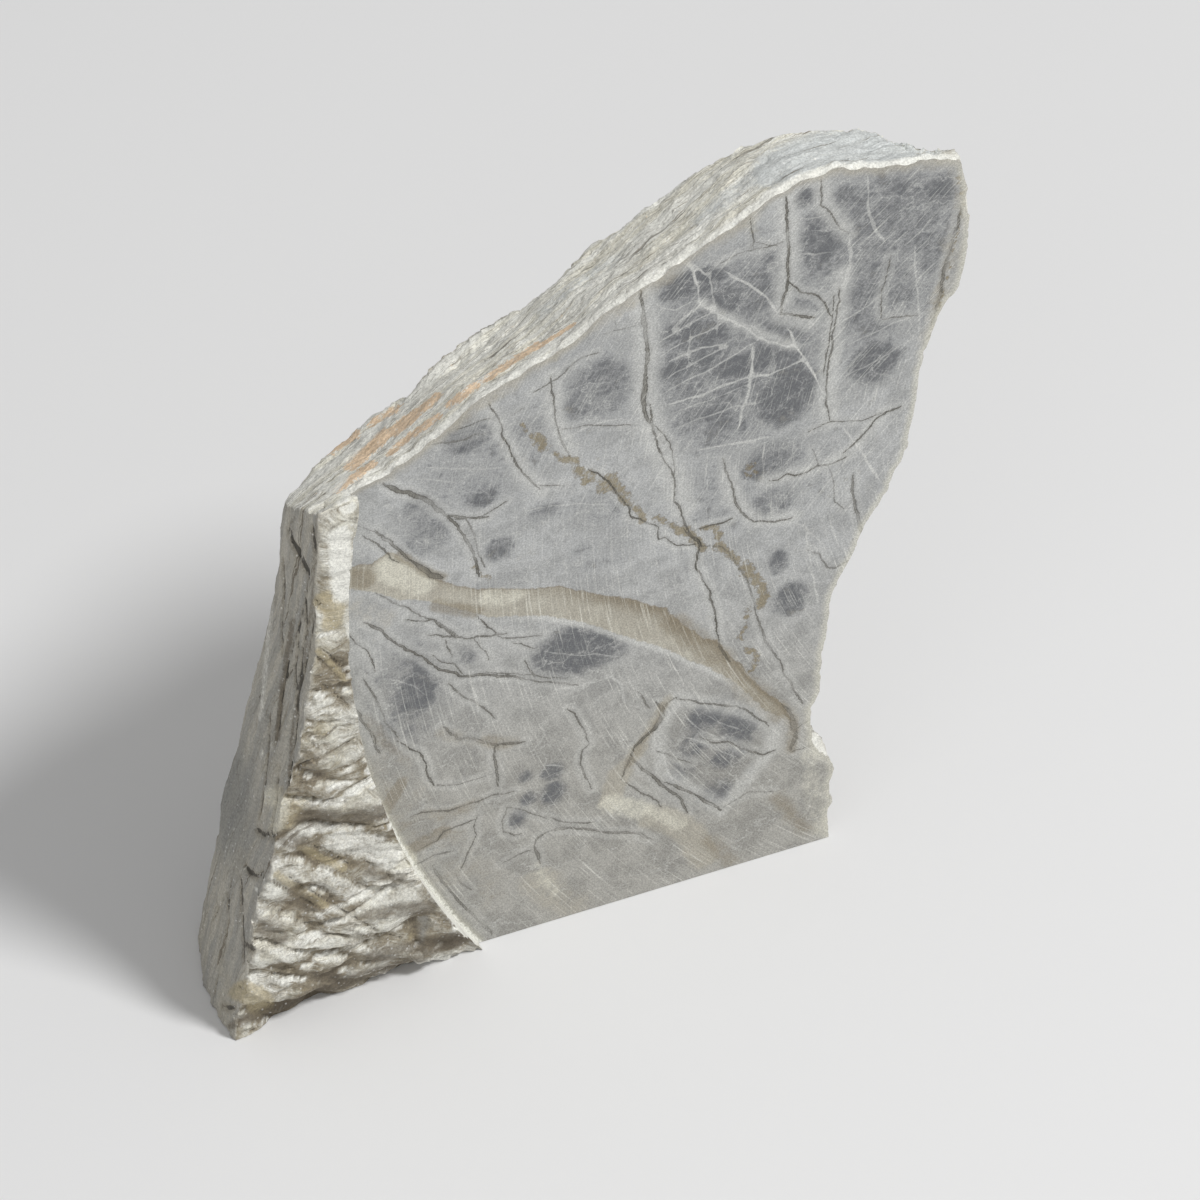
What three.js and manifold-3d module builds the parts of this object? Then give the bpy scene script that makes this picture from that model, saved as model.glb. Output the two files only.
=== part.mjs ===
// A raw alabaster rock with one sawn face, standing on its own flat foot.
//
// The stone is bounded by six surfaces: a natural top that falls away to the back, a rough back,
// a weathered left side, a broken right side, a rough front and a flat foot. A round saw blade
// has cut a slab off the front. It left a flat sawn face, and it stopped short of the left edge,
// so a ledge of uncut stone still stands proud there behind a wall in the shape of an arc.
//
// Millimetres, +Z up. x runs along the sawn face from its top left corner, y runs into the stone
// from the sawn face, and z is the height above the foot, until the stone is centred at the end.

import * as THREE from 'three';
import { mergeVertices } from 'three/addons/utils/BufferGeometryUtils.js';
import Module from 'manifold-3d';

const { clamp, lerp, mapLinear, smoothstep } = THREE.MathUtils;

// ---------------------------------------------------------------- driving dimensions

const LEFT_END = -47; // the foot's left corner
const RIGHT_END = 199.5; // the overhanging tip at the top right
const LEDGE_PROUD = 11; // how far the uncut ledge stands in front of the sawn face
const BACK_END = 76; // the deepest point of the foot
const WAIST_HEIGHT = 120; // the height where the back changes its lean
const ROOM = { x: [-60, 213], y: [-20, 92], z: [-20, 304] }; // a box with space all round the stone

const BLADE_RADIUS = 305; // a 24 inch saw blade
const BLADE_CENTRE = { x: 298, z: 160 };
const BLADE_SIDES = 240;

const RIM = 1.5; // the natural top starts this much above the sawn face, on a chipped rim
const FOOT_CHAMFER = 12; // height of the broken lower edge under the ledge
const RIGHT_RECEDES = 0.2; // the right side turns in by this much for each mm of depth
const LEFT_ROUNDS_FROM = 10; // depth where the left side starts to round to the back
const LEFT_ROUNDING = 0.0113; // per mm of depth squared

// Each surface's facets are this wide, and its swells rise and fall by this much.
const ROOF = { facet: 7, swell: 2.2, phase: 0.4 };
const BACK = { facet: 9, swell: 2.5, phase: 0.9 };
const RIGHT = { facet: 7, swell: 3, phase: 1.7 };
const LEFT = { facet: 7, swell: 0.8, phase: 2.9 };
const LEDGE = { facet: 5, swell: 1.5, phase: 4.1 };
const LONG_SWELL = [19, 27];
const SHORT_SWELL = [8.3, 11.7];
const SWELLS_START = [2, 20]; // depth over which the swells grow to their full height

const STONE_COLOUR = 0xa3a29c;
const STONE_ROUGHNESS = 0.62;

// ---------------------------------------------------------------- profiles: [position, value]

// Height of the top edge of the sawn face, along x.
const ROOF_EDGE = [
  [-60, 200], [-16, 206], [0, 210], [10, 213.5], [20, 219], [38, 232], [52, 238], [68, 244],
  [80, 253], [104, 265], [120, 273], [140, 283.5], [147, 285.5], [158, 285], [170, 279.5],
  [188, 278.5], [199.5, 273], [215, 262],
];

// How far the top falls for each mm of depth, along x.
const ROOF_FALL = [
  [-60, 0.88], [-16, 0.88], [0, 0.64], [40, 0.56], [95, 0.49], [125, 0.43], [150, 0.46], [175, 0.4],
];

// x of the right edge of the front, by height.
const RIGHT_EDGE = [
  [0, 154], [20, 155], [34, 154.5], [39, 151], [60, 149.5], [72, 150.5], [85, 153], [100, 154],
  [110, 157], [128, 165], [138, 170], [153, 178], [160, 180], [175, 183], [196, 184.5],
  [210, 189.5], [218, 194.5], [232, 198], [250, 199.5], [262, 199.5], [275, 197],
];

// x of the left edge of the front, by height.
const LEFT_EDGE = [
  [0, -47], [8, -46], [30, -42], [55, -39], [75, -33], [95, -30], [115, -25], [145, -20],
  [170, -18], [212, -16],
];

// Depth of the ledge's front, by height.
const LEDGE_FRONT = [[0, -9.5], [150, -9], [190, -7.5], [215, -5.5]];

// Depth of the front at the foot, along x: the ledge's lower edge has broken back to the saw cut.
const FOOT_FRONT = [[-47, -10], [-20, -5], [10, -2], [38, 0]];

// Depth of the back at the foot, at the waist and at the crest behind the top, along x.
const BACK_AT_FOOT = [[-47, 34], [-20, 56], [20, 70], [70, 78], [120, 72], [156, 42]];
const BACK_AT_WAIST = [[-47, 30], [-20, 42], [20, 58], [70, 67], [120, 60], [160, 32], [200, 16]];
const BACK_AT_CREST = [
  [-15, 26], [0, 33], [40, 35], [95, 39], [120, 40], [140, 37], [160, 32], [174, 27], [184, 13],
  [200, 5],
];
const CREST_HEIGHT = [[-15, 183], [40, 214], [95, 245], [140, 268], [174, 268], [200, 270]];

// ---------------------------------------------------------------- surfaces of the stone

// The value of a profile at a position, straight between its points and level past its ends.
function follow(profile, position) {
  const last = profile.length - 1;
  if (position <= profile[0][0]) return profile[0][1];
  if (position >= profile[last][0]) return profile[last][1];
  const after = profile.findIndex(([place]) => place > position);
  const [placeA, valueA] = profile[after - 1];
  const [placeB, valueB] = profile[after];
  return mapLinear(position, placeA, placeB, valueA, valueB);
}

// Slow uneven swells of a natural surface, at a place given by two lengths along it.
function swells(surface, a, b) {
  const { swell, phase } = surface;
  const long = Math.sin(a / LONG_SWELL[0] + phase) * Math.cos(b / LONG_SWELL[1] - phase);
  const short = Math.sin(a / SHORT_SWELL[0] + b / SHORT_SWELL[1] + 2 * phase);
  return swell * lerp(short, long, 0.65);
}

// Grows from 0 at the front edge, so that the swells leave the edges of the sawn face alone.
function inward(depth) {
  return smoothstep(depth, ...SWELLS_START);
}

function roofHeight(x, y) {
  const plain = follow(ROOF_EDGE, x) + RIM - follow(ROOF_FALL, x) * y;
  return plain + swells(ROOF, x, 2 * y) * inward(y);
}

function rightReach(y, z) {
  const plain = follow(RIGHT_EDGE, z) - RIGHT_RECEDES * y;
  return Math.min(plain + swells(RIGHT, 2 * y, z) * inward(y), RIGHT_END);
}

function leftReach(y, z) {
  const rounding = LEFT_ROUNDING * Math.max(0, y - LEFT_ROUNDS_FROM) ** 2;
  return Math.max(follow(LEFT_EDGE, z) + rounding + swells(LEFT, y, z) * inward(y), LEFT_END);
}

function backDepth(x, z) {
  const waist = follow(BACK_AT_WAIST, x);
  const below = mapLinear(z, 0, WAIST_HEIGHT, follow(BACK_AT_FOOT, x), waist);
  const above = mapLinear(z, WAIST_HEIGHT, follow(CREST_HEIGHT, x), waist, follow(BACK_AT_CREST, x));
  const plain = z < WAIST_HEIGHT ? below : above;
  return Math.min(plain + swells(BACK, x, z) * inward(plain), BACK_END);
}

function frontDepth(x, z) {
  const ledge = follow(LEDGE_FRONT, z) + swells(LEDGE, 1.7 * x, 1.4 * z);
  const foot = follow(FOOT_FRONT, x);
  const risen = clamp(z / FOOT_CHAMFER, 0, 1);
  return Math.max(lerp(foot, ledge, risen), -LEDGE_PROUD);
}

// ---------------------------------------------------------------- solids

const wasm = await Module();
wasm.setup();

function solidOf(geometry) {
  geometry.deleteAttribute('normal');
  geometry.deleteAttribute('uv');
  const merged = mergeVertices(geometry, 1e-4);
  return new wasm.Manifold(new wasm.Mesh({
    numProp: 3,
    vertProperties: new Float32Array(merged.getAttribute('position').array),
    triVerts: new Uint32Array(merged.getIndex().array),
  }));
}

// A block of many small facets whose outer face follows a surface of the stone.
// along and across are the ranges of the surface's two directions, outer gives the distance of
// the surface in the third direction and floor that of the block's inner face, and place turns
// the three into x, y and z.
function surfaceBlock({ along, across, facet, outer, floor, place }) {
  const columns = Math.round((along[1] - along[0]) / facet);
  const rows = Math.round((across[1] - across[0]) / facet);
  const geometry = new THREE.BoxGeometry(1, 1, 1, columns, rows, 1);
  const position = geometry.getAttribute('position');
  for (let i = 0; i < position.count; i += 1) {
    const u = lerp(along[0], along[1], position.getX(i) + 0.5);
    const v = lerp(across[0], across[1], position.getY(i) + 0.5);
    const w = position.getZ(i) > 0 ? outer(u, v) : floor;
    position.setXYZ(i, ...place(u, v, w));
  }
  return solidOf(geometry);
}

// The roof block's inner face is the stone's foot. Every other one lies past the stone's far side.
function roofBlock() {
  return surfaceBlock({
    along: ROOM.x, across: ROOM.y, facet: ROOF.facet, floor: 0,
    outer: roofHeight, place: (x, y, z) => [x, y, z],
  });
}

function backBlock() {
  return surfaceBlock({
    along: ROOM.z, across: ROOM.x, facet: BACK.facet, floor: ROOM.y[0],
    outer: (z, x) => backDepth(x, z), place: (z, x, y) => [x, y, z],
  });
}

function frontBlock() {
  return surfaceBlock({
    along: ROOM.x, across: ROOM.z, facet: LEDGE.facet, floor: -ROOM.y[1],
    outer: (x, z) => -frontDepth(x, z), place: (x, z, forward) => [x, -forward, z],
  });
}

function rightBlock() {
  return surfaceBlock({
    along: ROOM.y, across: ROOM.z, facet: RIGHT.facet, floor: ROOM.x[0],
    outer: rightReach, place: (y, z, x) => [x, y, z],
  });
}

function leftBlock() {
  return surfaceBlock({
    along: ROOM.z, across: ROOM.y, facet: LEFT.facet, floor: -ROOM.x[1],
    outer: (z, y) => -leftReach(y, z), place: (z, y, leftward) => [-leftward, y, z],
  });
}

// What the blade, and the slab that fell away in front of it, have left empty.
function sawCut() {
  const depth = 4 * LEDGE_PROUD;
  const geometry = new THREE.CylinderGeometry(BLADE_RADIUS, BLADE_RADIUS, depth, BLADE_SIDES);
  geometry.translate(BLADE_CENTRE.x, -depth / 2, BLADE_CENTRE.z);
  return solidOf(geometry);
}

function rock() {
  return [backBlock(), frontBlock(), rightBlock(), leftBlock()]
    .reduce((stone, block) => stone.intersect(block), roofBlock())
    .subtract(sawCut());
}

function geometryOf(solid) {
  const { numProp, vertProperties, triVerts } = solid.getMesh();
  const geometry = new THREE.BufferGeometry();
  geometry.setAttribute('position', new THREE.BufferAttribute(new Float32Array(vertProperties), numProp));
  geometry.setIndex(new THREE.BufferAttribute(new Uint32Array(triVerts), 1));
  geometry.computeVertexNormals();
  return geometry;
}

// Moves the stone so that the middle of its outline on the ground is the origin.
function centreOnFoot(geometry) {
  geometry.computeBoundingBox();
  const middle = geometry.boundingBox.getCenter(new THREE.Vector3());
  return geometry.translate(-middle.x, -middle.y, -geometry.boundingBox.min.z);
}

const material = new THREE.MeshStandardMaterial({
  color: STONE_COLOUR, roughness: STONE_ROUGHNESS, metalness: 0,
});
const stone = new THREE.Mesh(centreOnFoot(geometryOf(rock())), material);
stone.name = 'alabaster_rock';

const group = new THREE.Group();
group.add(stone);

export default group;
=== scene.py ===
"""A raw alabaster rock with one sawn face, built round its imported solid.

The natural skin of the rock is carved first, on a whole block. Then a round blade saws the front off,
the foot is cut flat, and the sawn face is laid again as a fine mesh whose edges follow its veins.
Lengths are in metres in the mesh. Marks on the sawn face are in millimetres from its top left corner,
x to the right and z up.
"""

import math

import bmesh
import bpy
import numpy as np
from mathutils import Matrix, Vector, noise
from mathutils.bvhtree import BVHTree
from mathutils.geometry import delaunay_2d_cdt
from mathutils.kdtree import KDTree


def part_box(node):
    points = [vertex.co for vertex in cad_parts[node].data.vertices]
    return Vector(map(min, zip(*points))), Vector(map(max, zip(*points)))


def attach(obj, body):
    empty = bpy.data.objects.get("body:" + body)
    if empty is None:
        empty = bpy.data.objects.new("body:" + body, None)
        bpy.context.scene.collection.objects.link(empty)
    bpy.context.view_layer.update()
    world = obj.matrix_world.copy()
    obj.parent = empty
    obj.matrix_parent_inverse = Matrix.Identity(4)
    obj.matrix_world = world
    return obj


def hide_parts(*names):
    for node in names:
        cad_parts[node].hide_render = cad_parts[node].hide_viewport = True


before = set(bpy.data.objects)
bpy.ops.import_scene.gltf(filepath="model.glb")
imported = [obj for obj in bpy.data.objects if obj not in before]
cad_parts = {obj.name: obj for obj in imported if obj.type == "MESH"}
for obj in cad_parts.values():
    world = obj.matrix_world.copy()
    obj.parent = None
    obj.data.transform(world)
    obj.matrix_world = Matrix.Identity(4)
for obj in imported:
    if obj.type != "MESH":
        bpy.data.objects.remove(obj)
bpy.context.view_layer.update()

bl_info = {
    "name": "Alabaster rock",
    "version": (1, 0, 0),
    "blender": (4, 5, 0),
    "location": "View3D > Sidebar > Rock",
    "description": "Builds a raw alabaster rock with one sawn face",
    "category": "Add Mesh",
}

MM = 0.001
NODE = "alabaster_rock"
SAWN, KERF = 1, 2  # material slots of the stone; slot 0 is the natural skin
LOW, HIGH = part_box(NODE)

# ------------------------------------------------------------------ the saw cut, in the row frame

SAWN_PLANE = LOW.y + 10.9 * MM
FACE_LEFT = LOW.x + 46.7 * MM
FACE_TOP = 210 * MM
BLADE_CENTRE = (298, -50)
BLADE_RADIUS = 305
BLADE_SIDES = 720

# The way the viewer looks at the rock: degrees round from the front, and degrees above the horizon.
VIEW_TURN = -23
VIEW_RISE = 45

# The stone's layers stand almost parallel to the sawn face: their lean along x and along z.
BEDDING_LEAN = (-0.2, 0.17)

# ------------------------------------------------------------------ marks on the sawn face

HAIR, FINE, MEDIUM, WIDE = 0.12, 0.22, 0.38, 0.75

# Dark cracks: half width in mm, darkness, points.
CRACKS = (
    (0.6, 0.85, ((92, 49), (92.5, 42), (93, 35), (94, 28), (94.3, 22), (94, 15), (93.3, 8), (93, 3),
                    (93.5, -3), (95, -8))),
    (FINE, 0.85, ((95, -1), (96, -9), (96.5, -14), (98, -20), (100, -27), (102, -32), (103, -35), (103, -45),
                  (105, -48), (106, -53), (107, -57), (109, -62), (111, -66))),
    (HAIR, 0.7, ((96, -9), (102, -20), (103, -28), (103, -35))),
    (WIDE, 0.85, ((8, 0), (10, -3), (14, -6.5), (18, -9), (22, -13), (25, -17), (28, -21))),
    (MEDIUM, 0.85, ((28, -21), (30, -24), (32, -28), (34, -32), (35.5, -36), (37, -41), (39, -52))),
    (FINE, 0.6, ((30, -24), (35, -26), (37, -33), (38, -38), (39, -43), (41, -49))),
    (MEDIUM, 0.8, ((28, -21), (34, -25), (38, -27), (42, -28))),
    (HAIR, 0.7, ((38, -27), (40, -27), (44, -25), (48, -24))),
    (FINE, 0.8, ((42, 20), (45, 14), (46.5, 9), (47, 5), (48.5, 0), (50, -5), (51.5, -9), (53, -13),
               (56, -18),
                 (59, -23))),
    (HAIR, 0.6, ((57, -20), (60, -22), (63, -23), (67, -24.5))),
    (FINE, 0.75, ((63, 24), (63, 18), (63.5, 12), (64, 6), (65, 0), (66, -4), (68, -10), (69, -13))),
    (FINE, 0.65, ((57, 19), (62, 21), (65, 22), (68, 24), (70, 26.5), (73, 28), (78, 28))),
    (FINE, 0.5, ((22, 10), (28, 9.5), (33, 8), (38, 8.5), (41, 7.5))),
    (HAIR, 0.7, ((32, 13), (36, 13), (40, 14), (43, 13.5))),
    (HAIR, 0.5, ((50, 12), (54, 14))),
    (HAIR, 0.55, ((84, 40), (84, 35))),
    (HAIR, 0.5, ((80, 35), (84, 35), (90, 34.5))),
    (HAIR, 0.5, ((66, 0), (75, -2), (85, -5.5), (90, -7))),
    (FINE, 0.7, ((1, -20), (4, -23), (7, -27), (10, -33), (13, -36))),
    (MEDIUM, 0.7, ((5, -19), (9, -25), (12.5, -30), (16.5, -36))),
    (WIDE, 0.8, ((16.5, -36), (20, -41), (23, -45), (27, -48.5))),
    (HAIR, 0.5, ((0, -15), (5, -20))),
    (FINE, 0.9, ((75, -20), (78, -23), (80, -26), (82, -29), (84, -34), (86, -38), (88, -42), (89, -46),
                 (92, -48), (95, -51), (98, -54))),
    (HAIR, 0.9, ((98, -54), (98, -59), (100, -59), (103, -63), (105, -65), (111, -66))),
    (MEDIUM, 0.95, ((106, -58), (108, -61), (110, -64), (112, -68))),
    (FINE, 0.85, ((110, -59.5), (114, -60), (118, -60), (122, -59.5))),
    (FINE, 0.9, ((111, -66), (111, -72), (110.5, -77), (112, -80), (113, -84), (115, -88), (115.5, -93),
                 (116.5, -98), (117, -104), (117.5, -108))),
    (MEDIUM, 0.8, ((117.5, -108), (118, -113), (120, -118), (122, -121))),
    (FINE, 0.6, ((112, -68), (116, -69), (119, -70.5), (121, -74), (123, -78), (125, -83), (127, -88),
                 (128.5, -93), (129.5, -98), (130, -103))),
    (FINE, 0.6, ((130, -103), (131, -108), (134, -118), (137, -124), (139, -130), (141, -136), (143, -142),
                 (146, -149))),
    (FINE, 0.65, ((119, -33), (120, -40), (122, -46), (123, -53), (125, -58), (128, -62), (130, -64),
               (133, -65),
                  (136, -66.5), (142, -67))),
    (FINE, 0.8, ((134, -48), (137, -49), (140, -48), (143, -49.5), (147, -49), (150, -48), (154, -49),
                 (160, -48))),
    (FINE, 0.8, ((159, -46), (162, -44), (165, -41), (167, -39), (169.5, -36), (173, -34), (178, -33))),
    (HAIR, 0.7, ((147, -32.5), (150, -31.5), (155, -31), (158, -32.5), (165, -34.5), (172, -34))),
    (HAIR, 0.6, ((153, -20), (153.5, -25), (154, -31))),
    (HAIR, 0.6, ((148.5, -40), (150.5, -48))),
    (HAIR, 0.45, ((154, -50), (156, -58), (156, -66), (159, -70))),
    (MEDIUM, 0.6, ((162, -56), (162, -64), (163, -70), (164, -78), (165, -83))),
    (FINE, 0.5, ((147, -83), (151, -86), (152, -89), (154, -93), (157, -94), (161, -93))),
    (MEDIUM, 0.85, ((139.5, 70), (139.5, 62), (140, 55), (140.5, 48), (140.5, 42), (140, 36), (139.5, 30),
                 (138.5, 25), (138, 21), (142, 19), (145, 17), (149, 15))),
    (FINE, 0.85, ((140, 34), (142, 31), (145, 27), (148, 25.5), (150, 24), (152, 20), (153, 17), (155, 13))),
    (FINE, 0.6, ((151, 73), (151, 62), (153, 60), (155, 55), (157, 50), (160, 46))),
    (HAIR, 0.75, ((128, 66), (128, 60), (129, 55), (129, 52))),
    (HAIR, 0.7, ((118, 50), (123, 51.5), (132, 51.5), (136, 51), (139, 51))),
    (HAIR, 0.7, ((129, 55), (132, 53), (137, 50))),
    (FINE, 0.7, ((157, 25), (157, 19), (156, 12), (155, 5), (154, -5), (153, -17), (153, -24))),
    (HAIR, 0.7, ((155.4, 22), (155.2, 16), (154.2, 8), (153.2, 0), (152.4, -10))),
    (HAIR, 0.6, ((174, 32), (173, 27), (172, 22), (171, 17), (171, 11), (171, 6), (175, 5.5), (183, 3.5))),
    (MEDIUM, 0.7, ((197, 44), (196, 37), (194, 30), (192, 22), (191, 15), (190, 8), (189, 1), (187.5, -3))),
    (FINE, 0.6, ((195, 36), (193, 25), (191.5, 15))),
    (FINE, 0.7, ((5, -46), (10, -51), (14, -55), (17, -58), (20, -62), (24, -65), (27, -68), (30, -72),
                 (32, -75))),
    (FINE, 0.8, ((15, -61), (20, -64), (24, -65), (29, -72), (31, -75), (35, -77), (39, -78), (43, -79),
                 (48, -80))),
    (FINE, 0.7, ((22, -70), (27, -73), (33, -76))),
    (FINE, 0.6, ((45, -80), (48, -82), (52, -83.5), (60, -85.5))),
    (FINE, 0.8, ((38, -68), (40, -72), (42, -75), (44, -78))),
    (FINE, 0.7, ((28, -75), (29, -79), (30, -83))),
    (HAIR, 0.7, ((37, -78), (39, -82), (41, -85), (42, -89))),
    (MEDIUM, 0.75, ((1, -57), (4, -60), (7, -63), (10, -68), (13, -71), (16, -75), (20, -79))),
    (MEDIUM, 0.8, ((20, -79), (23, -83), (26, -87), (30, -90), (34, -93), (37, -94), (41, -95), (45, -97),
                   (50, -99), (54, -102))),
    (FINE, 0.55, ((54, -102), (57, -104), (64, -107), (72, -112))),
    (FINE, 0.75, ((24, -80), (27, -84), (30, -86), (34, -92))),
    (HAIR, 0.6, ((41, -94), (50, -98), (58, -102), (68, -107))),
    (FINE, 0.7, ((54, -94), (55, -97), (57, -102))),
    (HAIR, 0.6, ((50, -85), (53, -87), (57, -90))),
    (HAIR, 0.7, ((-4, -60), (-1, -65), (2, -69), (4, -75), (5, -79))),
    (FINE, 0.6, ((1, -81), (3, -86), (5, -92), (7, -98), (9, -104), (12, -110))),
    (MEDIUM, 0.6, ((-2, -92), (0, -98), (3, -104), (6, -115))),
    (FINE, 0.8, ((12, -112), (15, -116), (19, -120), (21, -125), (22, -131), (24, -136))),
    (FINE, 0.7, ((29, -94), (31, -98), (34, -102), (38, -106), (41, -110), (44, -115))),
    (MEDIUM, 0.7, ((27, -111), (29, -115), (32, -119), (35, -120), (39, -123), (43, -126), (50, -128),
                   (54, -129))),
    (MEDIUM, 0.6, ((44, -127), (44, -131), (44.5, -136), (45, -145))),
    (HAIR, 0.7, ((25, -136), (29, -138), (37, -139), (41, -139))),
    (FINE, 0.6, ((16, -147), (20, -146), (24, -147), (29, -149), (38, -148.5), (43, -148), (50, -149))),
    (FINE, 0.7, ((18, -162), (25, -160.5), (27, -157), (37, -156))),
    (HAIR, 0.6, ((38, -154), (37, -159), (38, -163), (36, -168), (34, -173), (31, -178))),
    (FINE, 0.7, ((17, -168), (24, -166), (30, -167))),
    (FINE, 0.5, ((31, -177), (33, -182), (36, -186))),
    (MEDIUM, 0.55, ((23, -170), (28, -182), (34, -193), (43, -208))),
    (FINE, 0.7, ((48, -155), (46.5, -160), (47, -165), (50, -167.5), (53, -168))),
    (HAIR, 0.6, ((48, -155), (52, -157), (55, -160), (61, -165))),
    (FINE, 0.7, ((62, -165), (66, -168), (70, -170), (77, -173))),
    (MEDIUM, 0.6, ((57, -175), (58, -172), (61, -171), (65, -171), (69, -172), (73, -174), (78, -177),
                   (86, -181), (92, -184), (96, -188))),
    (MEDIUM, 0.5, ((57, -175), (58, -180), (59, -184))),
    (HAIR, 0.5, ((45, -179), (50, -177.5), (56, -176))),
    (FINE, 0.75, ((68, -120), (71, -125), (73, -130), (75, -138))),
    (FINE, 0.75, ((75, -138), (73, -140), (72, -145), (73, -150), (76, -158))),
    (FINE, 0.55, ((91, -122), (93, -126), (95, -131))),
    (WIDE, 0.85, ((97, -129), (99, -132), (99, -136), (97, -140), (93, -143), (90, -146))),
    (MEDIUM, 0.8, ((90, -146), (89, -150), (87, -154), (86, -158))),
    (FINE, 0.8, ((104, -129.5), (101, -131), (99, -133))),
    (MEDIUM, 0.75, ((89, -150), (92.5, -156), (96, -160), (99, -165), (102, -169), (105, -173), (108, -181))),
    (MEDIUM, 0.75, ((101, -165), (105, -169), (109, -173), (112, -176), (115, -180), (119, -184.5))),
    (FINE, 0.6, ((87, -160), (93, -167), (97, -171), (99, -175))),
    (FINE, 0.65, ((104, -130), (108, -132), (112, -135), (116, -137), (120, -139), (124, -141), (128, -145),
                  (135, -154))),
    (HAIR, 0.7, ((97, -150), (101, -153), (109, -160))),
    (FINE, 0.7, ((112, -150), (116, -154), (121, -155), (125, -160), (129, -163), (133, -165.5),
               (137, -165))),
    (FINE, 0.6, ((119, -184), (123, -182), (128, -180), (136, -183))),
    (WIDE, 0.45, ((139, -146), (142, -152), (143, -157), (144, -162), (142, -167))),
    (HAIR, 0.5, ((142, -168), (150, -167.5))),
    (HAIR, 0.45, ((144, -159), (150, -155))),
)

# Dark cracks down the weathered left side, as they are seen against the sawn plane.
SIDE_CRACKS = (
    (0.75, 1.0, ((-11.5, -2), (-12.5, -17), (-13, -31), (-14.2, -45), (-16.2, -57), (-18.2, -70),
               (-20.5, -80),
                (-20.7, -90), (-22, -102), (-24, -118), (-25, -132))),
    (0.6, 1.0, ((-20.5, -1), (-23.6, -7.4), (-22, -14), (-19.7, -20), (-16.8, -29), (-17.8, -38),
               (-19.7, -47),
                  (-22, -57), (-24.2, -66), (-25.3, -72), (-26.5, -84), (-28, -98))),
    (0.55, 0.9, ((-15.5, -8), (-14.6, -20), (-16.8, -29))),
    (0.55, 0.85, ((-17.8, -38), (-17.5, -50), (-19, -62), (-20.5, -80))),
    (0.45, 0.8, ((-19.7, -47), (-20.5, -58), (-21.5, -68), (-20.7, -90))),
    (0.45, 0.8, ((-13.5, -36), (-15.8, -48), (-18.5, -58), (-22.5, -68), (-25.3, -72))),
    (0.45, 0.7, ((-25.5, -20), (-25, -33), (-26, -47), (-25.6, -60))),
    (0.45, 0.9, ((-28.5, -26), (-28, -31), (-27.8, -37))),
    (0.45, 0.7, ((-30, -84), (-30.5, -100), (-32, -115), (-34, -128))),
    (0.45, 0.6, ((-27, -106), (-28, -122), (-30, -136))),
    (0.45, 0.9, ((-35, -131), (-32, -135), (-27, -138))),
    (0.45, 0.9, ((-39, -145), (-37, -150), (-34, -152), (-32, -151))),
    (0.4, 0.8, ((-45, -155), (-48, -162), (-50, -168))),
    (0.4, 0.85, ((-42, -145), (-44, -155), (-45, -175), (-48, -190), (-49, -198))),
    (0.4, 0.85, ((-40, -150), (-39.5, -168), (-39, -188))),
    (0.55, 0.8, ((-39, -179), (-36, -183), (-33, -185), (-31, -188))),
    (0.4, 0.9, ((-47, -203), (-44, -206), (-42, -206))),
)

# Dark cracks in the torn ledge.
LEDGE_CRACKS = (
    (FINE, 0.8, ((-20.5, -110), (-10, -109), (-0.5, -105))),
    (HAIR, 0.7, ((-20.5, -96), (-14, -105), (-8, -110))),
    (FINE, 0.7, ((-13, -62), (-8, -69.5), (-4, -77))),
    (HAIR, 0.7, ((-15, -64.5), (-10, -72), (-6, -80))),
    (FINE, 0.6, ((-13, -78), (-8, -84), (-3, -92))),
    (FINE, 0.8, ((-18, -143.5), (-10.5, -151.5), (-3, -160))),
    (HAIR, 0.7, ((-20.5, -147), (-13, -155), (-6, -162.5), (2, -172))),
    (FINE, 0.8, ((-27, -152), (-19.5, -162), (-8.5, -175), (5, -191), (15, -200))),
    (HAIR, 0.6, ((-29, -156), (-21, -166), (-12, -176))),
    (HAIR, 0.7, ((-34, -184), (-28, -191), (-22, -198))),
    (HAIR, 0.6, ((-14, -185), (-4, -190), (6, -197))),
    (FINE, 0.7, ((-30, -168), (-24, -172), (-20, -178), (-13, -181))),
    (HAIR, 0.6, ((-22, -120), (-15, -126), (-6, -131), (3, -136))),
    (HAIR, 0.6, ((0, -158), (6, -166), (14, -174), (24, -188))),
)

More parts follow.
